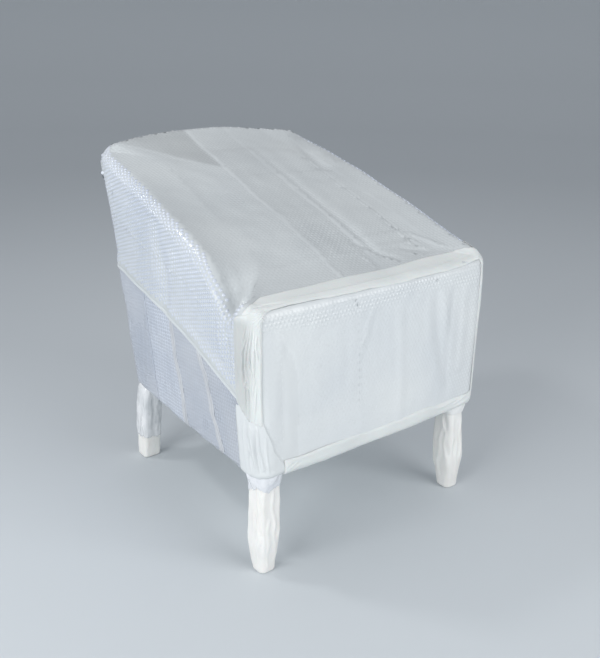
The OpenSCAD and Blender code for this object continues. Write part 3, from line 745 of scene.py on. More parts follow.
# a lighter copy of the skirt film for the front right leg: partly the white foam wrapped there, partly painted light
# against the shade under the body
SKIRT_FILM_PAINTED_LIGHT = Finish(
    "skirt_film_painted_light", "clear_film", (0.86, 0.87, 0.86), (0.93, 0.935, 0.925), (0.35, 0.5), 0.3, 0.2, 90, 0.001, 26,
)
CLEAR_FILM = Finish(
    "sleeve_film", "clear_film", (0.64, 0.665, 0.685), (0.80, 0.815, 0.83), (0.15, 0.3), 0.8, 0.08, 60, 0.0012, 22,
)


# --------------------------------------------------------------------------- making pieces
def place_piece(mesh: bpy.types.Mesh, name: str, finish: Finish) -> bpy.types.Object:
    """Makes a mesh a piece in its finish that rides on the frame."""
    piece = bpy.data.objects.new(name, mesh)
    bpy.context.scene.collection.objects.link(piece)
    mesh.materials.append(finish.material())
    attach(piece, "root")
    LOG.info("%s: %d faces", name, len(mesh.polygons))
    return piece


def finish_piece(bm: bmesh.types.BMesh, name: str, finish: Finish, thickness: float = 0.0) -> bpy.types.Object:
    """Turns a bmesh into a smooth-shaded piece.

    Args:
        bm: the finished shape, in metres; it is freed.
        name: the piece's name.
        finish: its finish.
        thickness: thickness in millimetres given inwards from its faces, or 0 for a closed shape.

    Returns:
        The piece.
    """
    bmesh.ops.remove_doubles(bm, verts=bm.verts, dist=WELD)
    for f in bm.faces:
        f.smooth = True
    mesh = bpy.data.meshes.new(name)
    bm.to_mesh(mesh)
    bm.free()
    piece = place_piece(mesh, name, finish)
    if thickness:
        wall = piece.modifiers.new("thickness", "SOLIDIFY")
        wall.thickness = thickness * MM
        wall.offset = -1.0
    return piece


@dataclass
class Sheet:
    """One sheet of film or foam, made from patches.

    Attributes:
        name: the piece's name.
        stands_for: the node that it stands for.
        finish: its finish.
        thickness: its thickness, in millimetres.
        held: how it is held; not used.
        rests_on: names of the pieces under it; not used.
    """

    name: str
    stands_for: str
    finish: Finish
    thickness: float = FILM_THICK
    held: str = "stretched"
    rests_on: tuple[str, ...] = ("body_foam",)

    def lay(self, patches: Sequence[Patch], tones: Sequence, **said: object) -> bpy.types.Object:
        """Args:
            patches: its patches.
            tones: for each patch the tone of its points, or None.
            said: what else is said of the sheet, such as a flat size other than the first patch's; it is gathered but
                not used.

        Returns:
            The piece.
        """
        bm = bmesh.new()
        for patch, tone in zip(patches, tones):
            patch.mesh(bm, None, tone)
        piece = finish_piece(bm, self.name, self.finish, self.thickness)
        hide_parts(self.stands_for)
        said = {"flat": sheet_size(patches[0]), **said}
        return piece


def sheet_size(patch: Patch) -> tuple[float, float]:
    """Flat width and length of a patch, in metres."""
    across, up = patch.flat()
    return across[-1] * MM, up[-1] * MM


@dataclass
class BubbleRows:
    """Rows of round air bubbles, close-packed on a sheet.

    Attributes:
        pitch: distance from one bubble to the next in a row, in millimetres.
        radius: radius of a bubble at its foot.
        height: how far the fullest bubble stands out of the sheet.
        places: frames of the bubbles laid so far.
    """

    pitch: float = 9.6
    radius: float = 4.3
    height: float = 2.0
    places: list[Points] = field(default_factory=list)

    def dome(self) -> tuple[Points, list[list[int]]]:
        """The corners and faces of one bubble, made with the cone operator and rounded."""
        bm = bmesh.new()
        foot, crown = self.radius, self.radius * 0.6
        bmesh.ops.create_cone(bm, cap_ends=True, segments=7, radius1=foot, radius2=crown, depth=self.height)
        bmesh.ops.translate(bm, verts=bm.verts, vec=(0, 0, self.height * 0.32))
        top = [f for f in bm.faces if f.normal.z > 0.9]
        bmesh.ops.poke(bm, faces=top, offset=self.height * 0.2)
        bmesh.ops.delete(bm, geom=[f for f in bm.faces if f.normal.z < -0.9], context="FACES_ONLY")
        corners = np.array([v.co for v in bm.verts])
        bm.verts.index_update()
        faces = [[v.index for v in f.verts] for f in bm.faces]
        bm.free()
        return corners, faces

    def lattice(self, width: float, height: float, angle: float) -> Points:
        """Places of the bubbles over a width and height, with rows that rise by the angle, in degrees."""
        step = self.pitch * math.sqrt(3) / 2
        reach = math.hypot(width, height)
        i, j = np.meshgrid(np.arange(-reach, reach, self.pitch), np.arange(int(2 * reach / step)))
        x, y = i + 0.5 * self.pitch * (j % 2), j * step - reach
        a = math.radians(angle)
        p = np.stack([(x * math.cos(a) - y * math.sin(a)).ravel(), (x * math.sin(a) + y * math.cos(a)).ravel()], -1)
        return p[(p[:, 0] > 0) & (p[:, 0] < width) & (p[:, 1] > 0) & (p[:, 1] < height)]

    def cover(
        self,
        layer: Layer,
        span: tuple[float, float],
        angle: float,
        inside: Callable[[Points, Points, Points], Points],
        fullness: Callable[[Points], Points],
    ) -> None:
        """Lays bubbles over a layer on the wall and the rim.

        Args:
            layer: the layer that they lie on.
            span: first and last place round the chair.
            angle: how steeply the rows rise along it, in degrees.
            inside: says which places (u, v, height) have a bubble.
            fullness: how full the bubbles at some points are, from 0 to 1.
        """
        us = np.linspace(*span, 160)
        run = run_along(np.stack(SKIN.outline(us, np.full_like(us, 430), 0), -1))
        spots = self.lattice(run[-1], 640, angle)
        u, h = np.interp(spots[:, 0], run, us), spots[:, 1] + 205
        low, top = SKIN.under_at(u) + SKIN.bottom_r, SKIN.rim(u) - SKIN.rim_r
        under, wall = (h - low) / (SKIN.bottom_r * math.pi / 2), (h - low) / (top - low)
        v = np.select([h < low, h < top], [under, wall], 1 + (h - top) / (1.15 * SKIN.rim_r * math.pi / 2))
        live = inside(u, v, h) & (v > -0.4)
        u, v = u[live], v[live]
        at = layer.at(u, v)
        across, up = layer.at(u + 0.004, v) - at, layer.at(u, v + 0.01) - at
        self.add(at, np.cross(across, up), across, fullness(at))

    def add(self, at: Points, normal: Points, way: Points, fullness: Points) -> None:
        """Adds bubbles at points with the given normals, ways across and fullness."""
        n = normal / np.linalg.norm(normal, axis=1, keepdims=True)
        t = way - n * np.sum(way * n, axis=1, keepdims=True)
        t /= np.linalg.norm(t, axis=1, keepdims=True)
        frames = np.stack([t, np.cross(n, t), n * np.asarray(fullness)[:, None], at], 1)
        self.places.append(frames[np.asarray(fullness) > 0.05])

    def piece(self, name: str, finish: Finish, tone: float | Points = 1.0) -> bpy.types.Object:
        """All bubbles laid so far as one piece, in one tone or with a tone for each of them."""
        corners, faces = self.dome()
        frames = np.concatenate(self.places)
        rng = np.random.default_rng(7)
        size = rng.uniform(0.9, 1.06, (len(frames), 1, 1))
        lean = rng.normal(0, 0.05, (len(frames), 2, 1))
        frames[:, 2] += frames[:, 0] * lean[:, 0] + frames[:, 1] * lean[:, 1]
        pts = np.einsum("kc,ncd->nkd", corners, frames[:, :3]) * size + frames[:, 3][:, None]
        mesh = bpy.data.meshes.new(name)
        count, turns = len(corners), np.arange(len(frames))[:, None]
        loops = np.array([c for f in faces for c in f])
        starts = np.cumsum([0] + [len(f) for f in faces])[:-1]
        for made, each, key, values in (
            (mesh.vertices, count, "co", pts * MM),
            (mesh.loops, len(loops), "vertex_index", loops[None] + turns * count),
            (mesh.polygons, len(faces), "loop_start", starts[None] + turns * len(loops)),
        ):
            made.add(len(frames) * each)
            made.foreach_set(key, values.astype(np.float32 if key == "co" else np.int32).ravel())
        shade = mesh.attributes.new("tone", "FLOAT", "POINT")
        tones = np.broadcast_to(np.asarray(tone, np.float32), len(frames))
        shade.data.foreach_set("value", np.repeat(tones, count))
        mesh.update(calc_edges=True)
        mesh.shade_smooth()
        return place_piece(mesh, name, finish)


# --------------------------------------------------------------------------- the pieces
@dataclass
class InnerFoam:
    """White foam wrap of the body, which shows underneath and between the sheets.

    Attributes:
        steps: columns along each side.
    """

    steps: int = 26

    def build(self) -> bpy.types.Object:
        """Builds the padded body."""
        us = all_round(self.steps)
        n = (len(us) - 1) // 4
        vs = spans(-1, 4, 0, 23, 1, 5, 2, 6, 3)
        depth = np.interp(vs, (-1, -0.4, 0, 0.4, 2, 3), (-0.6, -0.8, -3, -9, -10, -12))
        ring = Patch(SKIN.at(us[None], vs[:, None], depth[:, None]), closed=True)
        top, low = (Patch(coons(ring.points[row][:-1], n, n)) for row in (-1, 0))
        bm = bmesh.new()
        for patch in (ring, top, low.lifted([Crinkle(70, 5, 11), Crinkle(26, 1.6, 5)], inner_mask(n))):
            patch.mesh(bm)
        bmesh.ops.remove_doubles(bm, verts=bm.verts, dist=WELD)
        bmesh.ops.recalc_face_normals(bm, faces=bm.faces)
        piece = finish_piece(bm, "body_foam", FOAM)
        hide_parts("padded_body")
        return piece


@dataclass
class Hood:
    """Bubble film hood over the back, the arms and the seat.

    Attributes:
        steps: columns along each side.
        laps: the laps across the top.
        hem_roll: how far the rolled hem stands proud.
        hem_band: height of the flattened band along the hem.
        row_angle: how steeply the bubble rows rise towards the front, in degrees.
        spread: parts of the top painted darker or lighter than the rest, as painted shade and painted light.
    """

    steps: int = 90
    laps: Laps = Laps((-0.19, 0.18, 0.745), 0.8)
    hem_roll: float = 2.4
    hem_band: float = 15.0
    row_angle: float = 17.0
    # painted shade over the back left and down the middle of the top, painted light beside it and at the back right
    spread: tuple[PaintedShadingRegion, ...] = (
        PaintedShadingRegion((((-62, 0), (-1, 0)), ((-111, 203), (0.66, 0.75))), -0.22, 12),
        PaintedShadingRegion((((-62, 0), (-1, 0)), ((-111, 203), (-0.66, -0.75)), ((-160, 60), (0.2, 1))), 0.03, 60),
        PaintedShadingRegion((((206, 230), (1, 0.45)), ((210, 160), (-0.25, 1))), 0.05, 22),
        PaintedShadingRegion((((-62, 0), (1, 0)), ((60, 0), (-1, 0))), -0.035, 6),
    )

    def folds(self) -> tuple:
        """The hood's folds and wrinkles, as the photograph shows them."""
        return (
            self.laps,
            Fold(left_path((31, 700), (29, 643), (14, 598), (2, 538), (20, 480)), 26, -8.0),
            Fold(left_path((-39, 640), (-41, 600), (-14, 542), (-28, 478)), 16, 3.6),
            Fold(left_path((301, 662), (206, 637), (128, 616), (23, 602), (-104, 582), (-177, 550)), 2.2, 1.5),
            Fold(left_path((262, 745), (258, 700), (268, 655)), 3, 1.2),
            Fold(((-236, 314, 809), (-194, 269, 795), (-152, 226, 780), (-104, 186, 768)), 18, -1.6),
            Fold(((-225, 322, 806), (-160, 300, 800), (-60, 296, 800)), 24, 2),
            Fold(((262, 262, 792), (228, 220, 777), (212, 160, 758), (206, 90, 738)), 16, -4),
            Fold(((285, 230, 770), (262, 180, 755), (255, 110, 735)), 18, 3),
            Fold(
                ((47, -191, 630), (58, -213, 622), (79, -248, 609), (111, -278, 599), (140, -296, 594)),
                2.4, 1.9, Profile.RIDGE,
            ),
            Fold(((52, -180, 634), (68, -212, 624), (92, -244, 611), (124, -272, 601)), 9, -3.2),
            Fold(((120, -237, 613), (164, -256, 606), (191, -270, 601), (235, -276, 600)), 2.6, 1.9, Profile.RIDGE),
            Fold(((150, -232, 615), (186, -246, 608), (226, -262, 602)), 7, -2.6),
            Fold(((180, -205, 624), (208, -243, 611), (238, -275, 600)), 2.6, 1.6, Profile.RIDGE),
            Fold(((206, -171, 639), (198, -201, 627), (216, -234, 615)), 5, 2.2),
            Fold(((216, -190, 632), (248, -236, 618), (266, -268, 606)), 6, 2.4),
            Fold(((37, -225, 617), (39, -261, 604), (34, -296, 594)), 2.2, 1.4),
            Fold(((-60, -236, 613), (-60, -278, 599), (-67, -308, 591)), 2.2, 1.6),
            Fold(((-285, -150, 625), (-294, -215, 600), (-300, -262, 575)), 9, -2),
            Fold(((-262, -180, 618), (-282, -240, 592), (-292, -275, 573)), 7, 1.2),
            Fold(((-255, -262, 586), (-286, -268, 574), (-318, -266, 556)), 7, 1.0),
            Fold(((-318, -262, 560), (-328, -262, 520), (-327, -268, 470)), 9, -4),
            Fold(((-325, -240, 552), (-329, -232, 505), (-327, -236, 460)), 8, 2.5),
            Fold(((-284, 345, 806), (-288, 341, 780), (-286, 335, 730), (-284, 328, 660)), 3.0, 6.0, Profile.RIDGE),
            Fold(((-292, 322, 790), (-297, 312, 760), (-292, 306, 725)), 2.4, 3.4),
            Fold(((-283, 334, 785), (-288, 326, 755), (-285, 320, 715)), 2.6, 3.4),
            Fold(((-274, 341, 780), (-279, 334, 745), (-278, 328, 700)), 2.6, 3.0),
            Crinkle(130, 3.4, 1),
            Crinkle(34, 0.8, 2),
        )

    def offset(self, u: Points, v: Points) -> Points:
        """How far out the hood lies: two layers at the hem, rolled, and one above it."""
        low, top = SKIN.under_at(u) + SKIN.bottom_r, SKIN.rim(u) - SKIN.rim_r
        up = low + (top - low) * v - SKIN.hem_at(u)
        end = ease((u - 1 - SKIN.strip_place) / 0.04) * ease((3.9 - u) / 0.05)
        rolled, welt = (np.sin(np.pi * np.clip(x, 0, 1)) for x in (up / 7, (up - 10) / 6))
        roll = self.hem_roll * rolled + 0.8 * welt
        double = 0.6 + (SECOND_OUT - FILM_OUT - 0.6) * end
        return FILM_OUT + double * (1 - ease((up - self.hem_band) / 26)) + roll * end

    def places(self) -> tuple[Points, Points]:
        """Places of the hood's grid."""
        us = all_round(self.steps)
        hem = SKIN.hem_at(us)
        rows = [SKIN.wall_v(us, hem + up) for up in spans(0, 12, 18, 7, 44)]
        rows += [rows[-1] + (1 - rows[-1]) * t for t in np.linspace(0, 1, 30)[1:]]
        rows += [np.full_like(us, v) for v in spans(1, 10, 2, 14, 3)[1:]]
        return us, np.array(rows)

    def tone(self, points: Points) -> Points:
        """Tone of the film: painted shade and painted light over the top, lighter lines along the laps, and along the
        hem a lighter edge, partly the milky rolled film and partly a painted highlight.
        """
        on_top = ease((points[..., 2] - SKIN.film(points[..., 1]) + 30) / 30)
        # painted shade and painted light over the top
        tone = 1 + on_top * sum(r.tone(points) for r in self.spread)
        for past in self.laps.past(points):
            tone = tone + on_top * 0.035 * bell(past, 2.2)
        up = points[..., 2] - SKIN.hem(points[..., 1])
        # along the hem: slightly darker across the band, and a lighter edge that is partly milky rolled film and partly
        # a painted highlight
        return tone - 0.02 * (1 - ease((up - self.hem_band) / 6)) + 0.12 * (1 - ease((up - 4) / 3))

    def build(self) -> bpy.types.Object:
        """Builds the hood and its bubbles."""
        us, v = self.places()
        folds = self.folds()
        layer = Layer(self.offset, folds).settled(us[None], v)
        ring = layer.patch(us[None], v, closed=True)
        ring.points[:, -1] = ring.points[:, 0]
        n = (len(us) - 1) // 4
        top = Patch(coons(ring.points[-1][:-1], n, n))
        top = top.lifted(top.settle(folds), inner_mask(n))
        middle, rim_row = (us[:-1] + us[1:]) / 2, np.searchsorted(v[:, 0], 1.6)
        open_at = 4 - np.interp(v[:-1, 0], (0, 0.65, 0.85, 1.0, 1.2), (0.1, 0.09, 0.04, 0.01, -0.01))
        open_at[rim_row:] = 9
        keep = middle[None] < open_at[:, None]
        keep[:rim_row, middle < 1 + SKIN.strip_place - 0.02] = False
        bm = bmesh.new()
        ring.mesh(bm, keep, self.tone(ring.points))
        top.mesh(bm, None, self.tone(top.points))
        bmesh.ops.remove_doubles(bm, verts=bm.verts, dist=WELD)
        tree = BVHTree.FromBMesh(bm)
        piece = finish_piece(bm, "hood", HOOD_FILM, FILM_THICK)
        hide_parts("top_sheet")
        bubbles = [self.wall_bubbles(layer), self.top_bubbles(tree)]
        return piece

    def wall_bubbles(self, layer: Layer) -> bpy.types.Object:
        """Bubbles over the walls and the rim."""
        rows = BubbleRows(height=1.9)

        def inside(u: Points, v: Points, h: Points) -> Points:
            """Which places lie above the hem band and below the top."""
            return (h > SKIN.hem_at(u) + self.hem_band + 4) & (v < 1.85)

        def fullness(at: Points) -> Points:
            """Bubbles are full near the rim, flatter towards the hem and gone on the pleated corner."""
            down = np.maximum(0, SKIN.film(at[:, 1]) - at[:, 2])
            full = (0.5 + 0.5 * bell(down, 110)) * (1 - 1.2 * spot(at, -288, 336, 24, 30))
            beside_strip = ease((-at[:, 1] - 235) / 60) * ease(down / 40)
            return full * (1 - 0.6 * ease((at[:, 1] - 250) / 60)) * (1 - 0.55 * beside_strip)

        for span, slope in (((3.0, 3.92), 1), ((1 + SKIN.strip_place, 2.0), -1), ((2.0, 3.0), 0)):
            rows.cover(layer, span, slope * self.row_angle, inside, fullness)
        return rows.piece("hood_wall_bubbles", SIDE_FILM, 1.03)

    def top_bubbles(self, tree: BVHTree) -> bpy.types.Object:
        """Bubbles over the seat, in rows that run askew to the front."""
        rows = BubbleRows(height=1.9)
        spots = rows.lattice(700, 720, -17.6) - np.array([350, 350])
        at, normal = [], []
        for x, y in spots:
            hit, n, _, _ = tree.ray_cast(Vector((x * MM, y * MM, 1.0)), Vector((0, 0, -1)))
            if hit and n.z > 0.45:
                at.append(hit / MM)
                normal.append(n)
        at, normal = np.array(at), np.array(normal)
        inside = self.inside_rim(at)
        for past in self.laps.past(at):
            inside &= np.abs(past - 1) > 4.5
        at, normal = at[inside], normal[inside]
        full = 0.16 + 0.3 * spot(at, 10, -170, 75, 90) + 0.12 * spot(at, 150, -170, 60, 50)
        rows.add(at, normal, np.tile([1.0, 0, 0], (len(at), 1)), full)
        # the top's bubbles carry its painted shade and painted light
        return rows.piece("hood_top_bubbles", HOOD_FILM, self.tone(at))

    @staticmethod
    def inside_rim(at: Points) -> Points:
        """Which points lie inside the rim's crest and behind the edge band."""
        half = np.interp(at[:, 1], (-340, 344), (SKIN.front_w / 2 - 18, SKIN.back_w / 2 - 18))
        return (np.abs(at[:, 0]) < half) & (at[:, 1] > -290) & (at[:, 1] < 338)


class Lean(Enum):
    """Slanted edges of the lower side sheets, each with its y at the hem and its run forwards to the bottom."""

    BACK = (136.0, 24.0)
    REAR_SEAM = (-4.0, 46.0)
    FRONT_SEAM = (-140.0, 72.0)

    def y(self, z: Points) -> Points:
        """Place of the edge at height z."""
        at, run = self.value
        hem, low = SKIN.hem(np.array(at)), SKIN.under(np.array(at))
        return at - run * (hem - z) / (hem - low)

    def u(self, z: Points) -> Points:
        """Place of the edge round the chair at height z."""
        return SKIN.left_u(self.y(z), z)


@dataclass
class LowerSheet(Sheet):
    """A sheet of bubble film on the wall.

    Attributes:
        tone: how light it is.
        layer: the layer that it lies in.
    """

    tone: float = 1.0
    layer: Layer = Layer(FILM_OUT)

    def places(self) -> tuple[Points, Points]:
        """Places of the sheet's grid, as rows by columns."""
        raise NotImplementedError

    def shade(self, points: Points) -> Points:
        """Tone of each point."""
        return np.full(points.shape[:2], self.tone)

    def build(self, bubbles: Sequence[bpy.types.Object] = ()) -> bpy.types.Object:
        patch = self.layer.patch(*self.places())
        return self.lay([patch], [self.shade(patch.points)], with_pieces=list(bubbles))


def wall_rows(rough: Points) -> tuple[Points, Points]:
    """Shares and heights of the rows of a lower sheet, from under the bottom edge up under the hem."""
    h = spans(-0.5, 4, 0, 46, 1)[:, None]
    up = np.maximum(h, 0)
    return h, (SKIN.under_at(rough) + SKIN.bottom_r) * (1 - up) + (SKIN.hem_at(rough) + 19) * up


@dataclass
class SideSheet(LowerSheet):
    """A lower side sheet between two edges.

    Attributes:
        rear: its rear edge.
        front: its front edge, or None at the corner strip.
        mirrored: whether it is on the right.
        cols: its columns.
    """

    rear: Lean = Lean.BACK
    front: Optional[Lean] = None
    mirrored: bool = False
    cols: int = 36

    def places(self) -> tuple[Points, Points]:
        """Places of the sheet's grid, as rows by columns."""
        t = np.linspace(0, 1, self.cols)[None]

        def between(z: Points) -> Points:
            """Places along a row at height z."""
            rear = self.rear.u(z)
            return rear * (1 - t) + (self.front.u(z) if self.front else np.full_like(rear, 4.02 - SKIN.strip_place)) * t

        h, z = wall_rows(between(np.full_like(t, 380.0)))
        u = between(z)
        if self.mirrored:
            u, z = 5 - u[:, ::-1], z[:, ::-1]
        return u, np.where(h < 0, h, SKIN.wall_v(u, z))


@dataclass
class BackSheet(LowerSheet):
    """The lower sheet over the back, wrapped round both back corners."""

    def places(self) -> tuple[Points, Points]:
        """Places of the sheet's grid, as rows by columns."""
        c = SKIN.corner
        fixed = spans(2 - c, 12, 2 + c, 80, 3 - c, 13, 3 + c)[:-1]
        h, z = wall_rows(np.full((1, 1), 2.5))
        edge = Lean.BACK.u(z)
        wrap = edge - 3 - c
        a = (5 - edge) + wrap * np.linspace(0, 1, 18, endpoint=False)
        b = (3 + c) + wrap * np.linspace(0, 1, 18)
        u = np.concatenate([a, np.broadcast_to(fixed, (len(z), len(fixed))), b], 1)
        h, z = wall_rows(u)
        return u, np.where(h < 0, h, SKIN.wall_v(u, z))


@dataclass
class FrontSheet(LowerSheet):
    """The film over the front, wrapped round both front corners."""

    def places(self) -> tuple[Points, Points]:
        """Places of the sheet's grid, as rows by columns."""
        c, e = SKIN.corner, SKIN.strip_place
        us = spans(-e, 5, -c, 14, c, 130, 1 - c, 14, 1 + c, 5, 1 + e)
        return us[None], spans(-0.6, 5, 0, 56, 1, 7, 1.6)[:, None]

    def shade(self, points: Points) -> Points:
        """Tone of each point: the lapped strip near the left edge is darker, and painted shade darkens the front
        towards the right.
        """
        x, z = points[..., 0], points[..., 2]
        edge = np.interp(z, (271, 431, 475, 531, 572), (-223, -221, -231, -261, -277))
        strip = ease((x + 268) / 12) * (x < edge)
        # painted shade: the front darkens towards its right-hand end
        return self.tone - 0.05 * strip - 0.07 * ease((x - 120) / 200)


@dataclass
class SeamStrip(Sheet):
    """Folded strip of film over the seam between two side sheets.

    Attributes:
        lean: the seam.
        width: its width.
        rise: how far its folds stand out.
    """

    lean: Lean = Lean.REAR_SEAM
    width: float = 21.0
    rise: float = 1.1

    def build(self) -> bpy.types.Object:
        """Builds the strip."""
        a = np.linspace(-1, 1, 25)[None]
        h = spans(-0.3, 3, 0, 80, 1)[:, None]
        at = self.lean.value[0]
        low = SKIN.under(np.array(at)) + SKIN.bottom_r
        top = SKIN.hem(np.array(at - self.width / 2)) + 4
        z = low + (top - low) * np.maximum(h, 0)
        wave = 2.4 * np.sin(h * 9 + at) + 1.2 * np.sin(h * 23)
        y = self.lean.y(z) + wave - a * self.width / 2 * (1 + 0.14 * np.sin(h * 17))
        u = SKIN.left_u(y, z)
        first, second = 0.5 + 0.1 * np.sin(h * 13), -0.45 + 0.1 * np.sin(h * 19 + 2)
        ridge = bell(a - first, 0.16) + 0.7 * bell(a - second, 0.15) - 0.4 * bell(a - 0.1, 0.2)
        d = FILM_OUT + 0.6 + (0.8 + self.rise * ridge) * (1 - a**4)
        patch = Layer(d, (*LOWER_WAVES, Crinkle(12, 0.8, 9))).patch(u, np.where(h < 0, h, SKIN.wall_v(u, z)))
        flat = (self.width * 1.2 * MM, sheet_size(patch)[1])
        # painted shade: the tone darkens along the fold crests, set against the light they catch
        return self.lay([patch], [1 - 0.22 * np.clip(ridge, 0, 1)], flat=flat)


def tapered(us: Points, vs: Points, low: float, high: float, fields: tuple, sides: str = "lrbt") -> Patch:
    """A strip whose border lies on what is under it.

    Args:
        us: places of its grid round the chair.
        vs: places up the chair.
        low: how far out its border lies.
        high: how far out the rest lies.
        fields: its folds and crinkles.
        sides: the sides of the grid that are tapered.

    Returns:
        The strip's patch.
    """
    mask = Patch(SKIN.at(us, vs, high)).border(6.0, sides)
    patch = Patch(SKIN.at(us, vs, low + (high - low) * mask))
    return patch.lifted(patch.settle(fields), 0.25 + 0.75 * mask)


@dataclass
class EdgeBand(Sheet):
    """White foam strip along the front top edge, turned down both front corners and gathered at the left one.

    Attributes:
        end_z: height of its end on the left corner.
        end_rise: how much higher that end is at its rear.
    """

    end_z: float = 350.0
    end_rise: float = 44.0

    def build(self) -> bpy.types.Object:
        """Builds the band."""
        patches = [self.left_strip(), self.right_strip(), self.top_band()]
        return self.lay(patches, [self.tone(patch.points) for patch in patches], flat=(0.075, 1.2))

    @staticmethod
    def tone(points: Points) -> Points:
        """Tone of the foam, with painted shade where the strip turns on to the left side."""
        return 1 - 0.26 * ease((-points[..., 0] - 316) / 18) * ease((585 - points[..., 2]) / 30)

    def top_band(self) -> Patch:
        """The stretch along the top edge, from round the left corner to round the right one."""
        us = spans(-0.05, 60, 0.13, 110, 0.9, 22, 1.1)
        stops = (-0.05, 0.02, 0.10, 0.14, 0.2, 0.35, 0.55, 0.75, 0.9, 1.1)
        outer = np.interp(us, stops, (1.02, 1.05, 1.25, 1.55, 1.56, 1.5, 1.4, 1.44, 1.52, 1.5))
        outer = outer + 0.02 * np.sin(us * 31) + 0.012 * np.sin(us * 73)
        stops = (-0.05, -0.03, 0, 0.05, 0.1, 0.2, 0.5, 0.8, 1, 1.1)
        inner = 2 + np.interp(us, stops, (-0.7, -0.4, -0.05, 0.12, 0.22, 0.3, 0.34, 0.38, 0.3, 0.1))
        inner = inner + 0.02 * np.sin(us * 17 + 1)
        t = np.linspace(0, 1, 40)[:, None]
        rise = np.interp(us, (-0.13, 0.14, 0.3, 0.85, 0.95), (1.6, 1.4, 0.4, 0.5, 1.6))
        folds = (*self.band_folds(), *self.pleats())
        return tapered(us[None], outer * (1 - t) + inner * t, BAND_LOW + rise * 0.9, FILM_OUT + 2.0 + rise, folds)

    @staticmethod
    def band_folds() -> tuple:
        """Soft creases along the band."""
        return (
            Fold(
                ((-320, -338, 571), (-309, -338, 584), (-290, -336, 587), (-248, -342, 584), (-193, -347, 578)),
                2.4, 2.6,
            ),
            Fold(((-322, -330, 574), (-309, -328, 590), (-285, -326, 594), (-240, -332, 590)), 3.0, -2.0),
            Fold(((-240, -322, 596), (-100, -330, 592), (60, -326, 594), (180, -318, 597)), 4, 0.9),
            Fold(((150, -338, 588), (220, -322, 596), (290, -312, 602)), 4, 1.0),
            Fold(((36, -345, 578), (32, -330, 590), (37, -300, 594)), 2.2, 0.9),
            Crinkle(60, 1.4, 21, (3, 1, 1)),
            Crinkle(18, 0.5, 22, (2.5, 1, 1)),
        )

    @staticmethod
    def corner_folds() -> tuple:
        """The gathers of the left corner strip and the small pleats at its top."""
        lines = (
            (
                (-326, -336, 566), (-331, -335, 539), (-334, -325, 508), (-336, -322, 470), (-333, -325, 444),
                (-329, -333, 431), (-327, -334, 387), (-328, -333, 362),
            ),
            (
                (-325, -339, 565), (-327, -336, 539), (-329, -332, 510), (-333, -330, 484), (-329, -332, 460),
                (-326, -334, 431),
            ),
            (
                (-322, -340, 561), (-325, -340, 536), (-327, -337, 511), (-328, -336, 485), (-323, -340, 462),
                (-326, -340, 425),
            ),
            ((-319, -343, 545), (-320, -342, 505), (-321, -343, 474), (-320, -344, 447), (-323, -341, 415)),
            ((-314, -345, 540), (-318, -346, 514), (-313, -348, 490)),
        )
        heights = (3.0, 2.8, 3.2, 2.8, 2.2)
        ridges = [Fold(line, 1.7, height) for line, height in zip(lines, heights)]
        hollows = [
            Fold(((-336, -318, 530), (-338, -312, 490), (-336, -314, 440), (-332, -322, 410)), 5.0, -0.8),
            Fold(((-331, -330, 505), (-334, -326, 470), (-330, -329, 440)), 2.0, -1.6),
            Fold(((-326, -340, 500), (-326, -339, 470), (-324, -341, 440)), 1.8, -1.4),
            Fold(((-318, -345, 520), (-318, -345, 480), (-321, -342, 430)), 1.6, -1.2),
            Fold(((-328, -336, 430), (-326, -336, 400), (-325, -337, 366)), 1.6, -1.2),
            Fold(((-316, -345, 440), (-318, -344, 400), (-320, -342, 362)), 1.6, 1.8),
            Fold(((-331, -331, 470), (-332, -328, 430), (-331, -327, 380)), 1.8, 2.0),
            Fold(((-330, -330, 560), (-333, -327, 530), (-335, -322, 500)), 2.0, 2.6),
            Fold(((-309, -349, 525), (-304, -351, 480), (-307, -350, 420)), 1.8, 1.6),
        ]
        return (*ridges, *hollows, *EdgeBand.pleats(), Crinkle(10, 1.3, 31, (1, 1, 6)), Crinkle(40, 1.2, 32))

    @staticmethod
    def pleats() -> tuple:
        """The fan of small pleats at the top of the left corner."""
        centre = (-280, -343, 577)
        ends = (
            (-313, -336, 580), (-320, -338, 570), (-321, -340, 564), (-320, -341, 556), (-317, -344, 550),
            (-312, -346, 545), (-306, -348, 543), (-298, -349, 546),
        )
        return tuple(
            Fold((centre, tuple(0.5 * (p + q) + r for p, q, r in zip(centre, end, (-3, -2, 6))), end), 1.3, 1.8)
            for end in ends
        )

    def left_strip(self) -> Patch:
        """The gathered strip at the front left corner."""
        s = t = np.linspace(0, 1, 130)
        right = np.interp(t, (0, 0.25, 0.5, 0.78, 0.88, 1), (0.047, 0.057, 0.081, 0.105, 0.118, 0.128))
        left = np.interp(t, (0, 0.4, 0.55, 0.68, 0.8, 1), (-0.15, -0.135, -0.122, -0.085, -0.04, 0.0))
        u = left[:, None] + (right - left)[:, None] * s[None]
        end = self.end_z + self.end_rise * (1 - s) ** 2 + 2.0 * np.sin(s * 61) + 1.2 * np.sin(s * 23 + 1)
        v0 = SKIN.wall_v(u[0], end)
        v = v0[None] + (1.45 - v0[None]) * t[:, None]
        return tapered(u, v, FILM_OUT + 1.6, FILM_OUT + 4.2, self.corner_folds(), "lrb")

    def right_strip(self) -> Patch:
        """The strip down the front right corner."""
        us = spans(0.94, 26, 1 + SKIN.corner, 8, 1 + SKIN.strip_place)
        v0 = SKIN.wall_v(us, np.full_like(us, 262.0))
        t = np.linspace(0, 1, 70)[:, None]
        folds = (
            Fold(((318, -340, 560), (322, -338, 480), (320, -340, 380), (312, -342, 290)), 4, 1.6),
            Crinkle(50, 2.2, 41, (1, 1, 4)), Crinkle(14, 0.8, 42, (1, 1, 3)),
        )
        return tapered(us[None], v0[None] + (1.6 - v0[None]) * t, BAND_LOW, BAND_OUT, folds, "lrb")


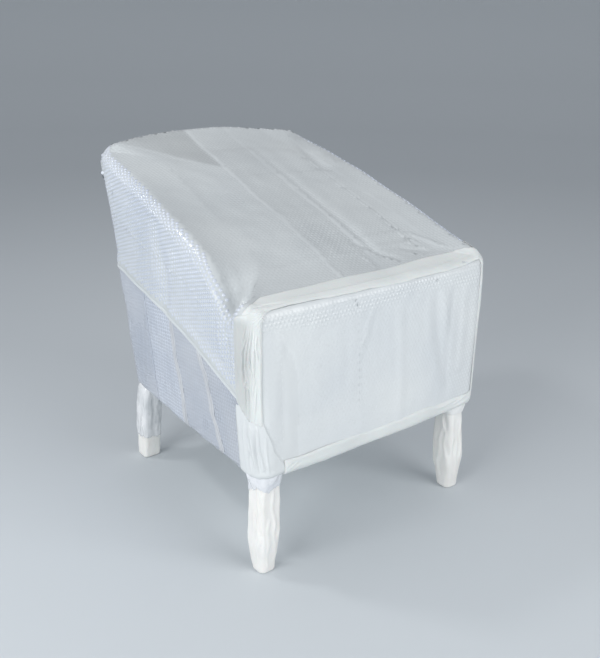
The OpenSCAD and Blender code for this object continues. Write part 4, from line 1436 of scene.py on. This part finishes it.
@dataclass
class BottomBand(Sheet):
    """White foam strip along the bottom edge of the front.

    Attributes:
        height: how far it reaches up the front.
    """

    height: float = 34.0

    def build(self) -> bpy.types.Object:
        """Builds the band."""
        c, e = SKIN.corner, SKIN.strip_place
        us = spans(0.15, 130, 1 - c, 24, 1 + c, 5, 1 + e)
        wave = 1.4 * np.sin(us * 21) + 0.8 * np.sin(us * 47 + 1)
        top = SKIN.wall_v(us, SKIN.under_at(us) + self.height + wave)
        t = spans(-0.9, 8, 0, 16, 1)[:, None]
        folds = (
            Fold(((-264, -361, 236), (-248, -363, 245), (-224, -364, 258)), 2.2, 2.2),
            Fold(((-268, -361, 244), (-252, -363, 253), (-236, -364, 262)), 2.2, 1.8),
            Fold(((-256, -362, 232), (-238, -363, 240), (-216, -364, 250)), 2.4, 1.6),
            Fold(((172, -364, 256), (217, -363, 258), (251, -363, 264)), 2.4, 2.0),
            Fold(((230, -364, 250), (256, -362, 258), (284, -356, 266)), 2.4, 2.4),
            Fold(((226, -364, 240), (262, -361, 246), (296, -350, 256)), 2.8, 2.4),
            Fold(((-150, -364, 236), (0, -365, 238), (150, -364, 238)), 3.0, 0.8),
            Crinkle(45, 2.0, 51, (2.5, 1, 1)), Crinkle(13, 0.7, 52, (1.5, 1, 1)),
        )
        return self.lay([tapered(us[None], np.where(t < 0, t, top * t), BAND_LOW, BAND_OUT, folds, "lrt")], [None])


@dataclass
class CornerFilm(Sheet):
    """Film round the lower front left corner, under the ragged end of the strip."""

    @staticmethod
    def hollows() -> tuple[Fold, ...]:
        """The hollows between the folds, which also set the painted shade of the film's tone."""
        return (
            Fold(((-329, -322, 362), (-327, -325, 313), (-323, -330, 270), (-312, -328, 232)), 4.5, -2.0),
            Fold(((-320, -342, 345), (-318, -344, 300), (-312, -349, 258), (-300, -345, 230)), 2.8, -1.8),
        )

    def build(self) -> bpy.types.Object:
        """Builds the film."""
        t = spans(-0.5, 6, 0, 110, 1)[:, None]
        us = np.linspace(-SKIN.strip_place, 0.165, 100)[None] + 0 * t
        stops = (-SKIN.strip_place, -0.1, 0, 0.05, 0.1, 0.165)
        top = SKIN.wall_v(us, np.interp(us, stops, (404, 390, 366, 362, 322, 240)))
        folds = (
            *self.hollows(),
            Fold(((-325, -332, 352), (-322, -335, 313), (-319, -340, 270), (-306, -340, 232)), 2.6, 3.6),
            Fold(((-315, -345, 353), (-313, -348, 305), (-305, -354, 261), (-292, -350, 228)), 2.2, 3.0),
            Fold(((-300, -353, 330), (-299, -355, 290), (-293, -357, 243)), 2.4, 1.8),
            Fold(((-329, -311, 348), (-326, -313, 294), (-322, -318, 250)), 2.6, 2.0),
            Crinkle(40, 2.4, 61, (1, 1, 2.5)), Crinkle(12, 0.7, 62, (1, 1, 1.6)),
        )
        vs = np.where(t < 0, t, top * t)
        free = ease((400 - SKIN.at(us, vs, FILM_OUT)[..., 2]) / 40)
        patch = Patch(SKIN.at(us, vs, FILM_OUT + 0 * us))
        mask = patch.border(8.0, "lrt") * (0.3 + 0.7 * free)
        patch = Patch(SKIN.at(us, vs, FILM_OUT + 0.05 + 1.4 * mask))
        patch = patch.lifted(patch.settle(folds), free * (0.2 + 0.8 * mask))
        # painted shade: the film's tone darkens along the hollows
        dark = sum(fold.lift(patch.points) for fold in patch.settle(self.hollows()))
        return self.lay([patch], [0.97 + 0.05 * dark], area=0.75 * math.prod(sheet_size(patch)))


@dataclass
class Leg:
    """One leg turned in white foam, with the film that covers its top.

    Attributes:
        name: which leg it is.
        foot: place of the foot.
        top: place of the top.
        top_w: width at the top.
        foot_w: width of the foot.
        bulge: how far the loose foam bulges.
        seed: which pattern of wrinkles it has.
        film: how far the film reaches down, at even steps round the leg.
        flare: how far the film's top spreads under the body.
        wrap: finish of the film.
        creases: creases of the foam, each as (u, lowest t, highest t, width, height, lean).
    """

    name: str
    foot: tuple[float, float]
    top: tuple[float, float]
    top_w: float
    foot_w: float
    bulge: float
    seed: float
    film: tuple[float, ...]
    flare: float
    wrap: Finish
    creases: tuple[tuple[float, float, float, float, float, float], ...]

    @property
    def skirted(self) -> bool:
        """Whether the film flares out under the body, as a skirt does, or is a sleeve."""
        return self.flare > 4

    def section(self, u: Points, t: Points, d: Points) -> Points:
        """Points round the leg at share t of its height, moved out by d."""
        x = self.foot[0] + (self.top[0] - self.foot[0]) * t
        y = self.foot[1] + (self.top[1] - self.foot[1]) * t
        width = self.foot_w + (self.top_w - self.foot_w) * ease(t * 2.6)
        half = (width + self.bulge * (0.6 * np.sin(7 * t) + np.sin(np.pi * ease(t * 1.4 - 0.3)))) / 2
        half = half + d
        r = half * (0.36 + 0.26 * self.skirted * (1 - ease(t * 2.5)) + 0.3 * ease((t - 0.75) * 4))
        px, py = SKIN.plan(u, half, -half, half, r, r)
        return np.stack([x + px, y + py, t * (SKIN.under(y + py) - 1)], -1)

    def build(self) -> None:
        """Builds the foam and the film of the leg."""
        cols = all_round(22, 8)
        ts = np.concatenate([[0, 0.004, 0.012, 0.026], np.linspace(0.04, 1, 110)])
        inset = np.interp(ts, [0, 0.004, 0.012, 0.026, 0.94, 1], [-6, -3, -1, 0, 0, -4])
        relief = self.relief(cols[None], ts[:, None]) * ease(ts * 22)[:, None]
        patch = Patch(self.section(cols[None], ts[:, None], inset[:, None] + relief), closed=True)
        patch = patch.lifted(self.waves(), ease(ts * 30)[:, None])
        bm = bmesh.new()
        patch.mesh(bm)
        bmesh.ops.remove_doubles(bm, verts=bm.verts, dist=WELD)
        bmesh.ops.holes_fill(bm, edges=[e for e in bm.edges if e.is_boundary], sides=0)
        foam = finish_piece(bm, self.name + "_foam", LEG_FOAM)
        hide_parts(self.name + "_leg")
        self.build_film(cols)

    def waves(self) -> tuple[Crinkle, Crinkle]:
        """The foam's crumples."""
        return Crinkle(34, 2.0, self.seed, (1, 1, 2.2)), Crinkle(12, 1.0, self.seed + 3, (1, 1, 2.6))

    def relief(self, u: Points, t: Points) -> Points:
        """Height of the edge of the foam's last turn, which spirals down the leg, and of its creases."""
        past = (u - (1.6 + 1.3 * (1 - t) + 0.2 * self.seed)) % 4
        lift = np.zeros(np.broadcast(u, t).shape)
        for place, low, high, width, height, lean in self.creases:
            at = place + lean * (t - (low + high) / 2) + 0.05 * np.sin(t * 21 + place * 5)
            off = (u - at + 2) % 4 - 2
            span = ease((t - low) / 0.12) * ease((high - t) / 0.12)
            lift += 0.75 * height * (bell(off, width) - 0.5 * bell(off - 2.2 * width, width)) * span
        return 1.9 * ease(past / 0.1) * np.exp(-past / 0.9) - 0.6 + lift

    def build_film(self, cols: Points) -> None:
        """Builds the film round the top of the leg."""
        height = SKIN.under(np.array(self.top[1])) - 1
        around = np.linspace(0, 4, len(self.film) + 1)
        drop = np.interp(cols, around, (*self.film, self.film[0])) + 2.0 * np.sin(cols * 11) + 1.2 * np.sin(cols * 29)
        drop[-1] = drop[0]
        s = np.linspace(0, 1, 60)[:, None]
        high = 1 + (7 / height if self.skirted else 0)
        t = 1 - drop[None] / height + (high - 1 + drop[None] / height) * s
        below = (1 - t) * height
        corner = ease(2 * np.abs(cols - np.floor(cols) - 0.5))[None]
        spread = 1.6 + self.flare * (1 - 0.5 * corner) * (1 - ease((below + 6) / 40)) + 0.8 * ease(s * 5)
        if not self.skirted:
            spread = spread + np.interp(t, (0.94, 1), (0, -5))
        patch = Patch(self.section(cols[None], t, spread + self.relief(cols[None], t)), closed=True)
        crumples = Crinkle(24, 1.6, self.seed + 5, (1, 1, 2.4)), Crinkle(8, 0.7, self.seed + 6, (1, 1, 1.8))
        patch = patch.lifted(self.waves(), 1).lifted(crumples, ease(s * 5))
        stands_for = self.name + ("_skirt" if self.skirted else "_sleeve")
        film = Sheet(self.name + "_film", stands_for, self.wrap, 0.5, "gathered", (self.name + "_foam",))
        wide, long = sheet_size(patch)
        film.lay([patch], [None], area=min(long, float(np.mean(drop) + (high - 1) * height) * MM) * wide)


@dataclass(frozen=True)
class Studio:
    """Plain pale floor, soft lights and the camera at the photograph's angle.

    Attributes:
        eye: place of the camera, in metres.
        heading: its heading, clockwise from the y axis.
        pitch: how far it looks down.
        roll: how far it leans.
        lens: its focal length for a sensor 36 mm wide.
    """

    eye: Triple = (-1.0878, -1.4619, 1.0632)
    heading: float = math.radians(38.0256)
    pitch: float = math.radians(20.526)
    roll: float = math.radians(0.888)
    lens: float = 36 * 794.34 / 658

    def build(self) -> None:
        """Builds the whole studio."""
        self.camera()
        self.floor()
        for lamp in (
            ("key_light", (0.9, -3.3, 1.7), 2.4, 63),
            ("left_light", (-3.0, -0.7, 1.25), 2.0, 62),
            ("glint_light", (-1.25, 0.95, 2.35), 0.3, 9),
            ("top_light", (0.4, 0.6, 3.2), 2.4, 4),
        ):
            self.light(*lamp)
        world = bpy.data.worlds.new("studio")
        world.use_nodes = True
        world.node_tree.nodes["Background"].inputs["Color"].default_value = (0.86, 0.89, 0.94, 1)
        world.node_tree.nodes["Background"].inputs["Strength"].default_value = 0.45
        bpy.context.scene.world = world
        bpy.context.scene.view_settings.view_transform = "Standard"

    def camera(self) -> None:
        """Places the camera."""
        sa, ca = math.sin(self.heading), math.cos(self.heading)
        sp, cp = math.sin(self.pitch), math.cos(self.pitch)
        ahead = Vector((sa * cp, ca * cp, -sp))
        level = Vector((ca, -sa, 0))
        upward = level.cross(ahead)
        right = level * math.cos(self.roll) + upward * math.sin(self.roll)
        up = -level * math.sin(self.roll) + upward * math.cos(self.roll)
        lens = bpy.data.cameras.new("camera")
        lens.lens = self.lens
        lens.sensor_width = 36
        camera = bpy.data.objects.new("camera", lens)
        turn = Matrix((right, up, -ahead)).transposed().to_4x4()
        camera.matrix_world = Matrix.Translation(self.eye) @ turn
        bpy.context.scene.collection.objects.link(camera)
        bpy.context.scene.camera = camera

    @staticmethod
    def floor() -> None:
        """Lays the floor, which curves up far away so that no edge shows."""
        bm = bmesh.new()
        start = bm.verts.new((0, 0, 0))
        profile = [start]
        for r, z in ((5.0, 0.0), (6.5, 0.12), (7.6, 0.55), (8.3, 1.3), (8.6, 2.4)):
            profile.append(bm.verts.new((r, 0, z)))
        edges = [bm.edges.new(pair) for pair in zip(profile[:-1], profile[1:])]
        whole = {"angle": math.tau, "steps": 64, "use_merge": True}
        bmesh.ops.spin(bm, geom=profile + edges, axis=(0, 0, 1), cent=(0, 0, 0), **whole)
        bmesh.ops.remove_doubles(bm, verts=bm.verts, dist=1e-4)
        bmesh.ops.recalc_face_normals(bm, faces=bm.faces)
        for f in bm.faces:
            f.smooth = True
        mesh = bpy.data.meshes.new("floor")
        bm.to_mesh(mesh)
        bm.free()
        floor = bpy.data.objects.new("floor", mesh)
        bpy.context.scene.collection.objects.link(floor)
        paint = bpy.data.materials.new("floor_paint")
        paint.use_nodes = True
        shader = paint.node_tree.nodes["Principled BSDF"]
        shader.inputs["Base Color"].default_value = (0.60, 0.64, 0.67, 1)
        shader.inputs["Roughness"].default_value = 0.85
        mesh.materials.append(paint)

    @staticmethod
    def light(name: str, place: Triple, size: float, power: float) -> None:
        """Hangs a square soft light that faces the chair."""
        lamp = bpy.data.lights.new(name, "AREA")
        lamp.shape = "SQUARE"
        lamp.size = size
        lamp.energy = power
        piece = bpy.data.objects.new(name, lamp)
        way = Vector((0, 0, 0.45)) - Vector(place)
        piece.rotation_euler = way.to_track_quat("-Z", "Y").to_euler()
        piece.location = place
        bpy.context.scene.collection.objects.link(piece)


LOWER_WAVES = (Crinkle(90, 3.2, 73), Crinkle(22, 0.8, 74))
SIDE_LAYER = Layer(FILM_OUT, LOWER_WAVES)
BACK_LAYER = Layer(FILM_OUT + 0.5, LOWER_WAVES)


def front_layer() -> Layer:
    """The layer of the film over the front, with its folds."""
    return Layer(FILM_OUT, (
        Fold(front_path((-274, 556), (-258, 531), (-234, 490), (-222, 455)), 4.0, 0.9),
        Fold(front_path((-222, 455), (-221, 400), (-223, 271)), 3.0, 0.5),
        Fold(front_path((-262, 480), (-260, 399), (-262, 270)), 9, -2.0),
        Fold(front_path((-62, 540), (-61, 389), (-59, 270)), 2.2, 0.9),
        Fold(front_path((55, 540), (60, 405), (62, 275)), 12, 1.6),
        Fold(front_path((163, 545), (176, 424), (207, 319), (206, 270)), 14, -3.0),
        Fold(front_path((190, 545), (204, 460), (226, 370)), 12, 2.4),
        Fold(front_path((221, 545), (208, 392), (215, 292)), 9, -2.4),
        Fold(front_path((262, 545), (258, 440), (250, 330)), 12, 2.2),
        Fold(((31, -350, 572), (38, -352, 562), (55, -350, 540)), 1.8, 1.2, Profile.RIDGE),
        Fold(((154, -350, 570), (172, -352, 556), (191, -349, 540)), 1.8, 1.2, Profile.RIDGE),
        Fold(((-74, -352, 566), (-63, -349, 546)), 2.0, 1.4, Profile.RIDGE),
        Fold(front_path((-20, 545), (-40, 500), (-66, 430)), 8, 1.2),
        Crinkle(120, 2.6, 81, (1, 1, 2)),
        Crinkle(24, 0.7, 82, (1, 1, 2)),
    ))


def lower_bubbles() -> bpy.types.Object:
    """Bubbles of the lower side and back sheets."""
    rows = BubbleRows(height=1.7)
    strip = SKIN.strip_place

    def below_hem(u: Points, v: Points, h: Points) -> Points:
        """Which places lie under the hem."""
        return (h < SKIN.hem_at(u) + 4) & (v < 0.97)

    def ahead(u: Points, v: Points, h: Points) -> Points:
        """Which places lie under the hem, ahead of the back sheet's edge and beside the seam strips."""
        y = SKIN.outline(u, h, 0)[1]
        clear = [np.abs(y - lean.y(h)) > 9 for lean in (Lean.REAR_SEAM, Lean.FRONT_SEAM)]
        return below_hem(u, v, h) & (y < Lean.BACK.y(h) - 3) & ((u < 2.5) | np.all(clear, axis=0))

    def behind(u: Points, v: Points, h: Points) -> Points:
        """Which places lie under the hem and behind the back sheet's edge."""
        return below_hem(u, v, h) & (SKIN.outline(u, h, 0)[1] > Lean.BACK.y(h) + 3)

    def flat(at: Points) -> Points:
        """How full the bubbles are on the lower sheets."""
        return np.full(len(at), 0.45)

    c = SKIN.corner
    for layer, span, angle, inside in (
        (SIDE_LAYER, (3 + c, 4 - strip), 8, ahead),
        (SIDE_LAYER, (1 + strip, 2 - c), -8, ahead),
        (BACK_LAYER, (3 + c, 3.5), 8, behind),
        (BACK_LAYER, (1.5, 2 - c), -8, behind),
        (BACK_LAYER, (2 - c, 3 + c), 0, behind),
    ):
        rows.cover(layer, span, angle, inside, flat)
    return rows.piece("lower_bubbles", SIDE_FILM, 0.8)


def front_bubbles(layer: Layer) -> bpy.types.Object:
    """Bubbles of the front film, pressed flat but for those along its top."""
    rows = BubbleRows(height=1.9)

    def inside(u: Points, v: Points, h: Points) -> Points:
        """Which places lie between the two bands."""
        return (h > SKIN.under_at(u) + 38) & (v < 1.42)

    def fullness(at: Points) -> Points:
        """How full the bubbles at some points are."""
        top = bell(at[:, 2] - 552 - 8 * np.sin(at[:, 0] / 70), 15)
        patchy = 0.75 + 0.25 * np.sin(at[:, 0] / 23) * np.sin(at[:, 0] / 61 + 1)
        return 0.08 + 0.5 * top * patchy - 0.06 * bell(at[:, 0] + 238, 24)

    rows.cover(layer, (0.10, 0.935), 0, inside, fullness)
    return rows.piece("front_bubbles", FRONT_FILM)


HIDDEN_CREASES = ((1.5, 0.1, 0.9, 0.1, 2.0, 0.2), (2.5, 0.1, 0.9, 0.1, 2.2, -0.2))


def legs() -> list[Leg]:
    """The four legs."""
    front_left = (
        (3.5, 0.05, 0.7, 0.10, 3.0, 0.3), (3.8, 0.2, 0.95, 0.06, 2.6, -0.25), (0.3, 0.02, 0.6, 0.09, 2.0, 0.2),
        (0.62, 0.15, 0.9, 0.08, 2.6, -0.3), (0.85, 0.05, 0.5, 0.1, 1.8, 0.1), *HIDDEN_CREASES,
    )
    front_right = (
        (3.45, 0.1, 0.9, 0.10, 3.2, 0.5), (3.75, 0.3, 0.95, 0.09, 2.6, -0.4), (0.18, 0.35, 0.9, 0.09, 2.8, 0.3),
        (0.5, 0.02, 0.75, 0.09, 2.2, -0.15), (0.78, 0.1, 0.85, 0.07, 1.8, 0.1), *HIDDEN_CREASES,
    )
    back = (
        (3.35, 0.3, 0.9, 0.07, 1.0, 0.2), (3.8, 0.25, 0.75, 0.06, 1.8, -0.5), (0.25, 0.3, 0.9, 0.09, 1.0, 0.1),
        (0.7, 0.3, 0.9, 0.09, 0.9, -0.1), (1.5, 0.1, 0.9, 0.1, 1.2, 0.2), (2.5, 0.1, 0.9, 0.1, 1.2, -0.2),
    )
    drops_left = (28, 38, 28, 30, 44, 40, 44, 48, 46, 44, 38, 30)
    drops_right = (18, 24, 20, 26, 44, 50, 60, 56, 40, 34, 30, 24)
    return [
        Leg("front_left", (-282, -320), (-275, -313), 52, 40, 1, 1, drops_left, 13, SKIRT_FILM, front_left),
        Leg("front_right", (282, -320), (274, -312), 52, 41, 5, 2, drops_right, 12, SKIRT_FILM_PAINTED_LIGHT, front_right),
        Leg("back_left", (-246, 262), (-240, 247), 48, 47, 0, 3, (150, 154, 148, 152), 0.6, CLEAR_FILM, back),
        Leg("back_right", (246, 262), (240, 247), 48, 47, 0, 4, (150, 148, 154, 152), 0.6, CLEAR_FILM, back),
    ]


def main() -> None:
    """Builds every piece in order, then the studio."""
    logging.basicConfig(level=logging.INFO, format="%(name)s %(message)s")
    Studio().build()
    InnerFoam().build()
    Hood().build()
    grid = np.linspace(0, 1, 120)[None], np.linspace(0, 1.5, 90)[:, None]
    front = front_layer().settled(*grid)
    on_front = ("front_film",)
    FrontSheet("front_film", "front_sheet", FRONT_FILM, layer=front).build([front_bubbles(front)])
    BackSheet("back_film", "back_sheet", SIDE_FILM, tone=0.82, layer=BACK_LAYER).build([lower_bubbles()])
    for name, tone, rear, ahead, mirrored, cols in (
        ("left_rear", 1.08, Lean.BACK, Lean.REAR_SEAM, False, 36),
        ("left_middle", 0.74, Lean.REAR_SEAM, Lean.FRONT_SEAM, False, 36),
        ("left_front", 0.69, Lean.FRONT_SEAM, None, False, 36),
        ("right", 1.0, Lean.BACK, None, True, 80),
    ):
        stands_for = "right_side_sheet" if mirrored else name + "_sheet"
        sheet = SideSheet(name + "_film", stands_for, SIDE_FILM, tone=tone, layer=SIDE_LAYER)
        replace(sheet, rear=rear, front=ahead, mirrored=mirrored, cols=cols).build()
    SeamStrip("rear_seam", "rear_seam_strip", SEAM_FILM, 0.8, "folded").build()
    SeamStrip("front_seam", "front_seam_strip", SEAM_FILM, 0.8, "folded", lean=Lean.FRONT_SEAM).build()
    EdgeBand("edge_foam", "edge_band", FOAM, FOAM_THICK, "gathered", ("hood", "front_film")).build()
    BottomBand("bottom_foam", "bottom_band", FOAM, FOAM_THICK, "stretched", on_front).build()
    CornerFilm("corner_film", "corner_wrap", FRONT_FILM, 0.4, "folded", on_front).build()
    for leg in legs():
        leg.build()
    LOG.info("sizes written")


if __name__ == "__main__":
    main()
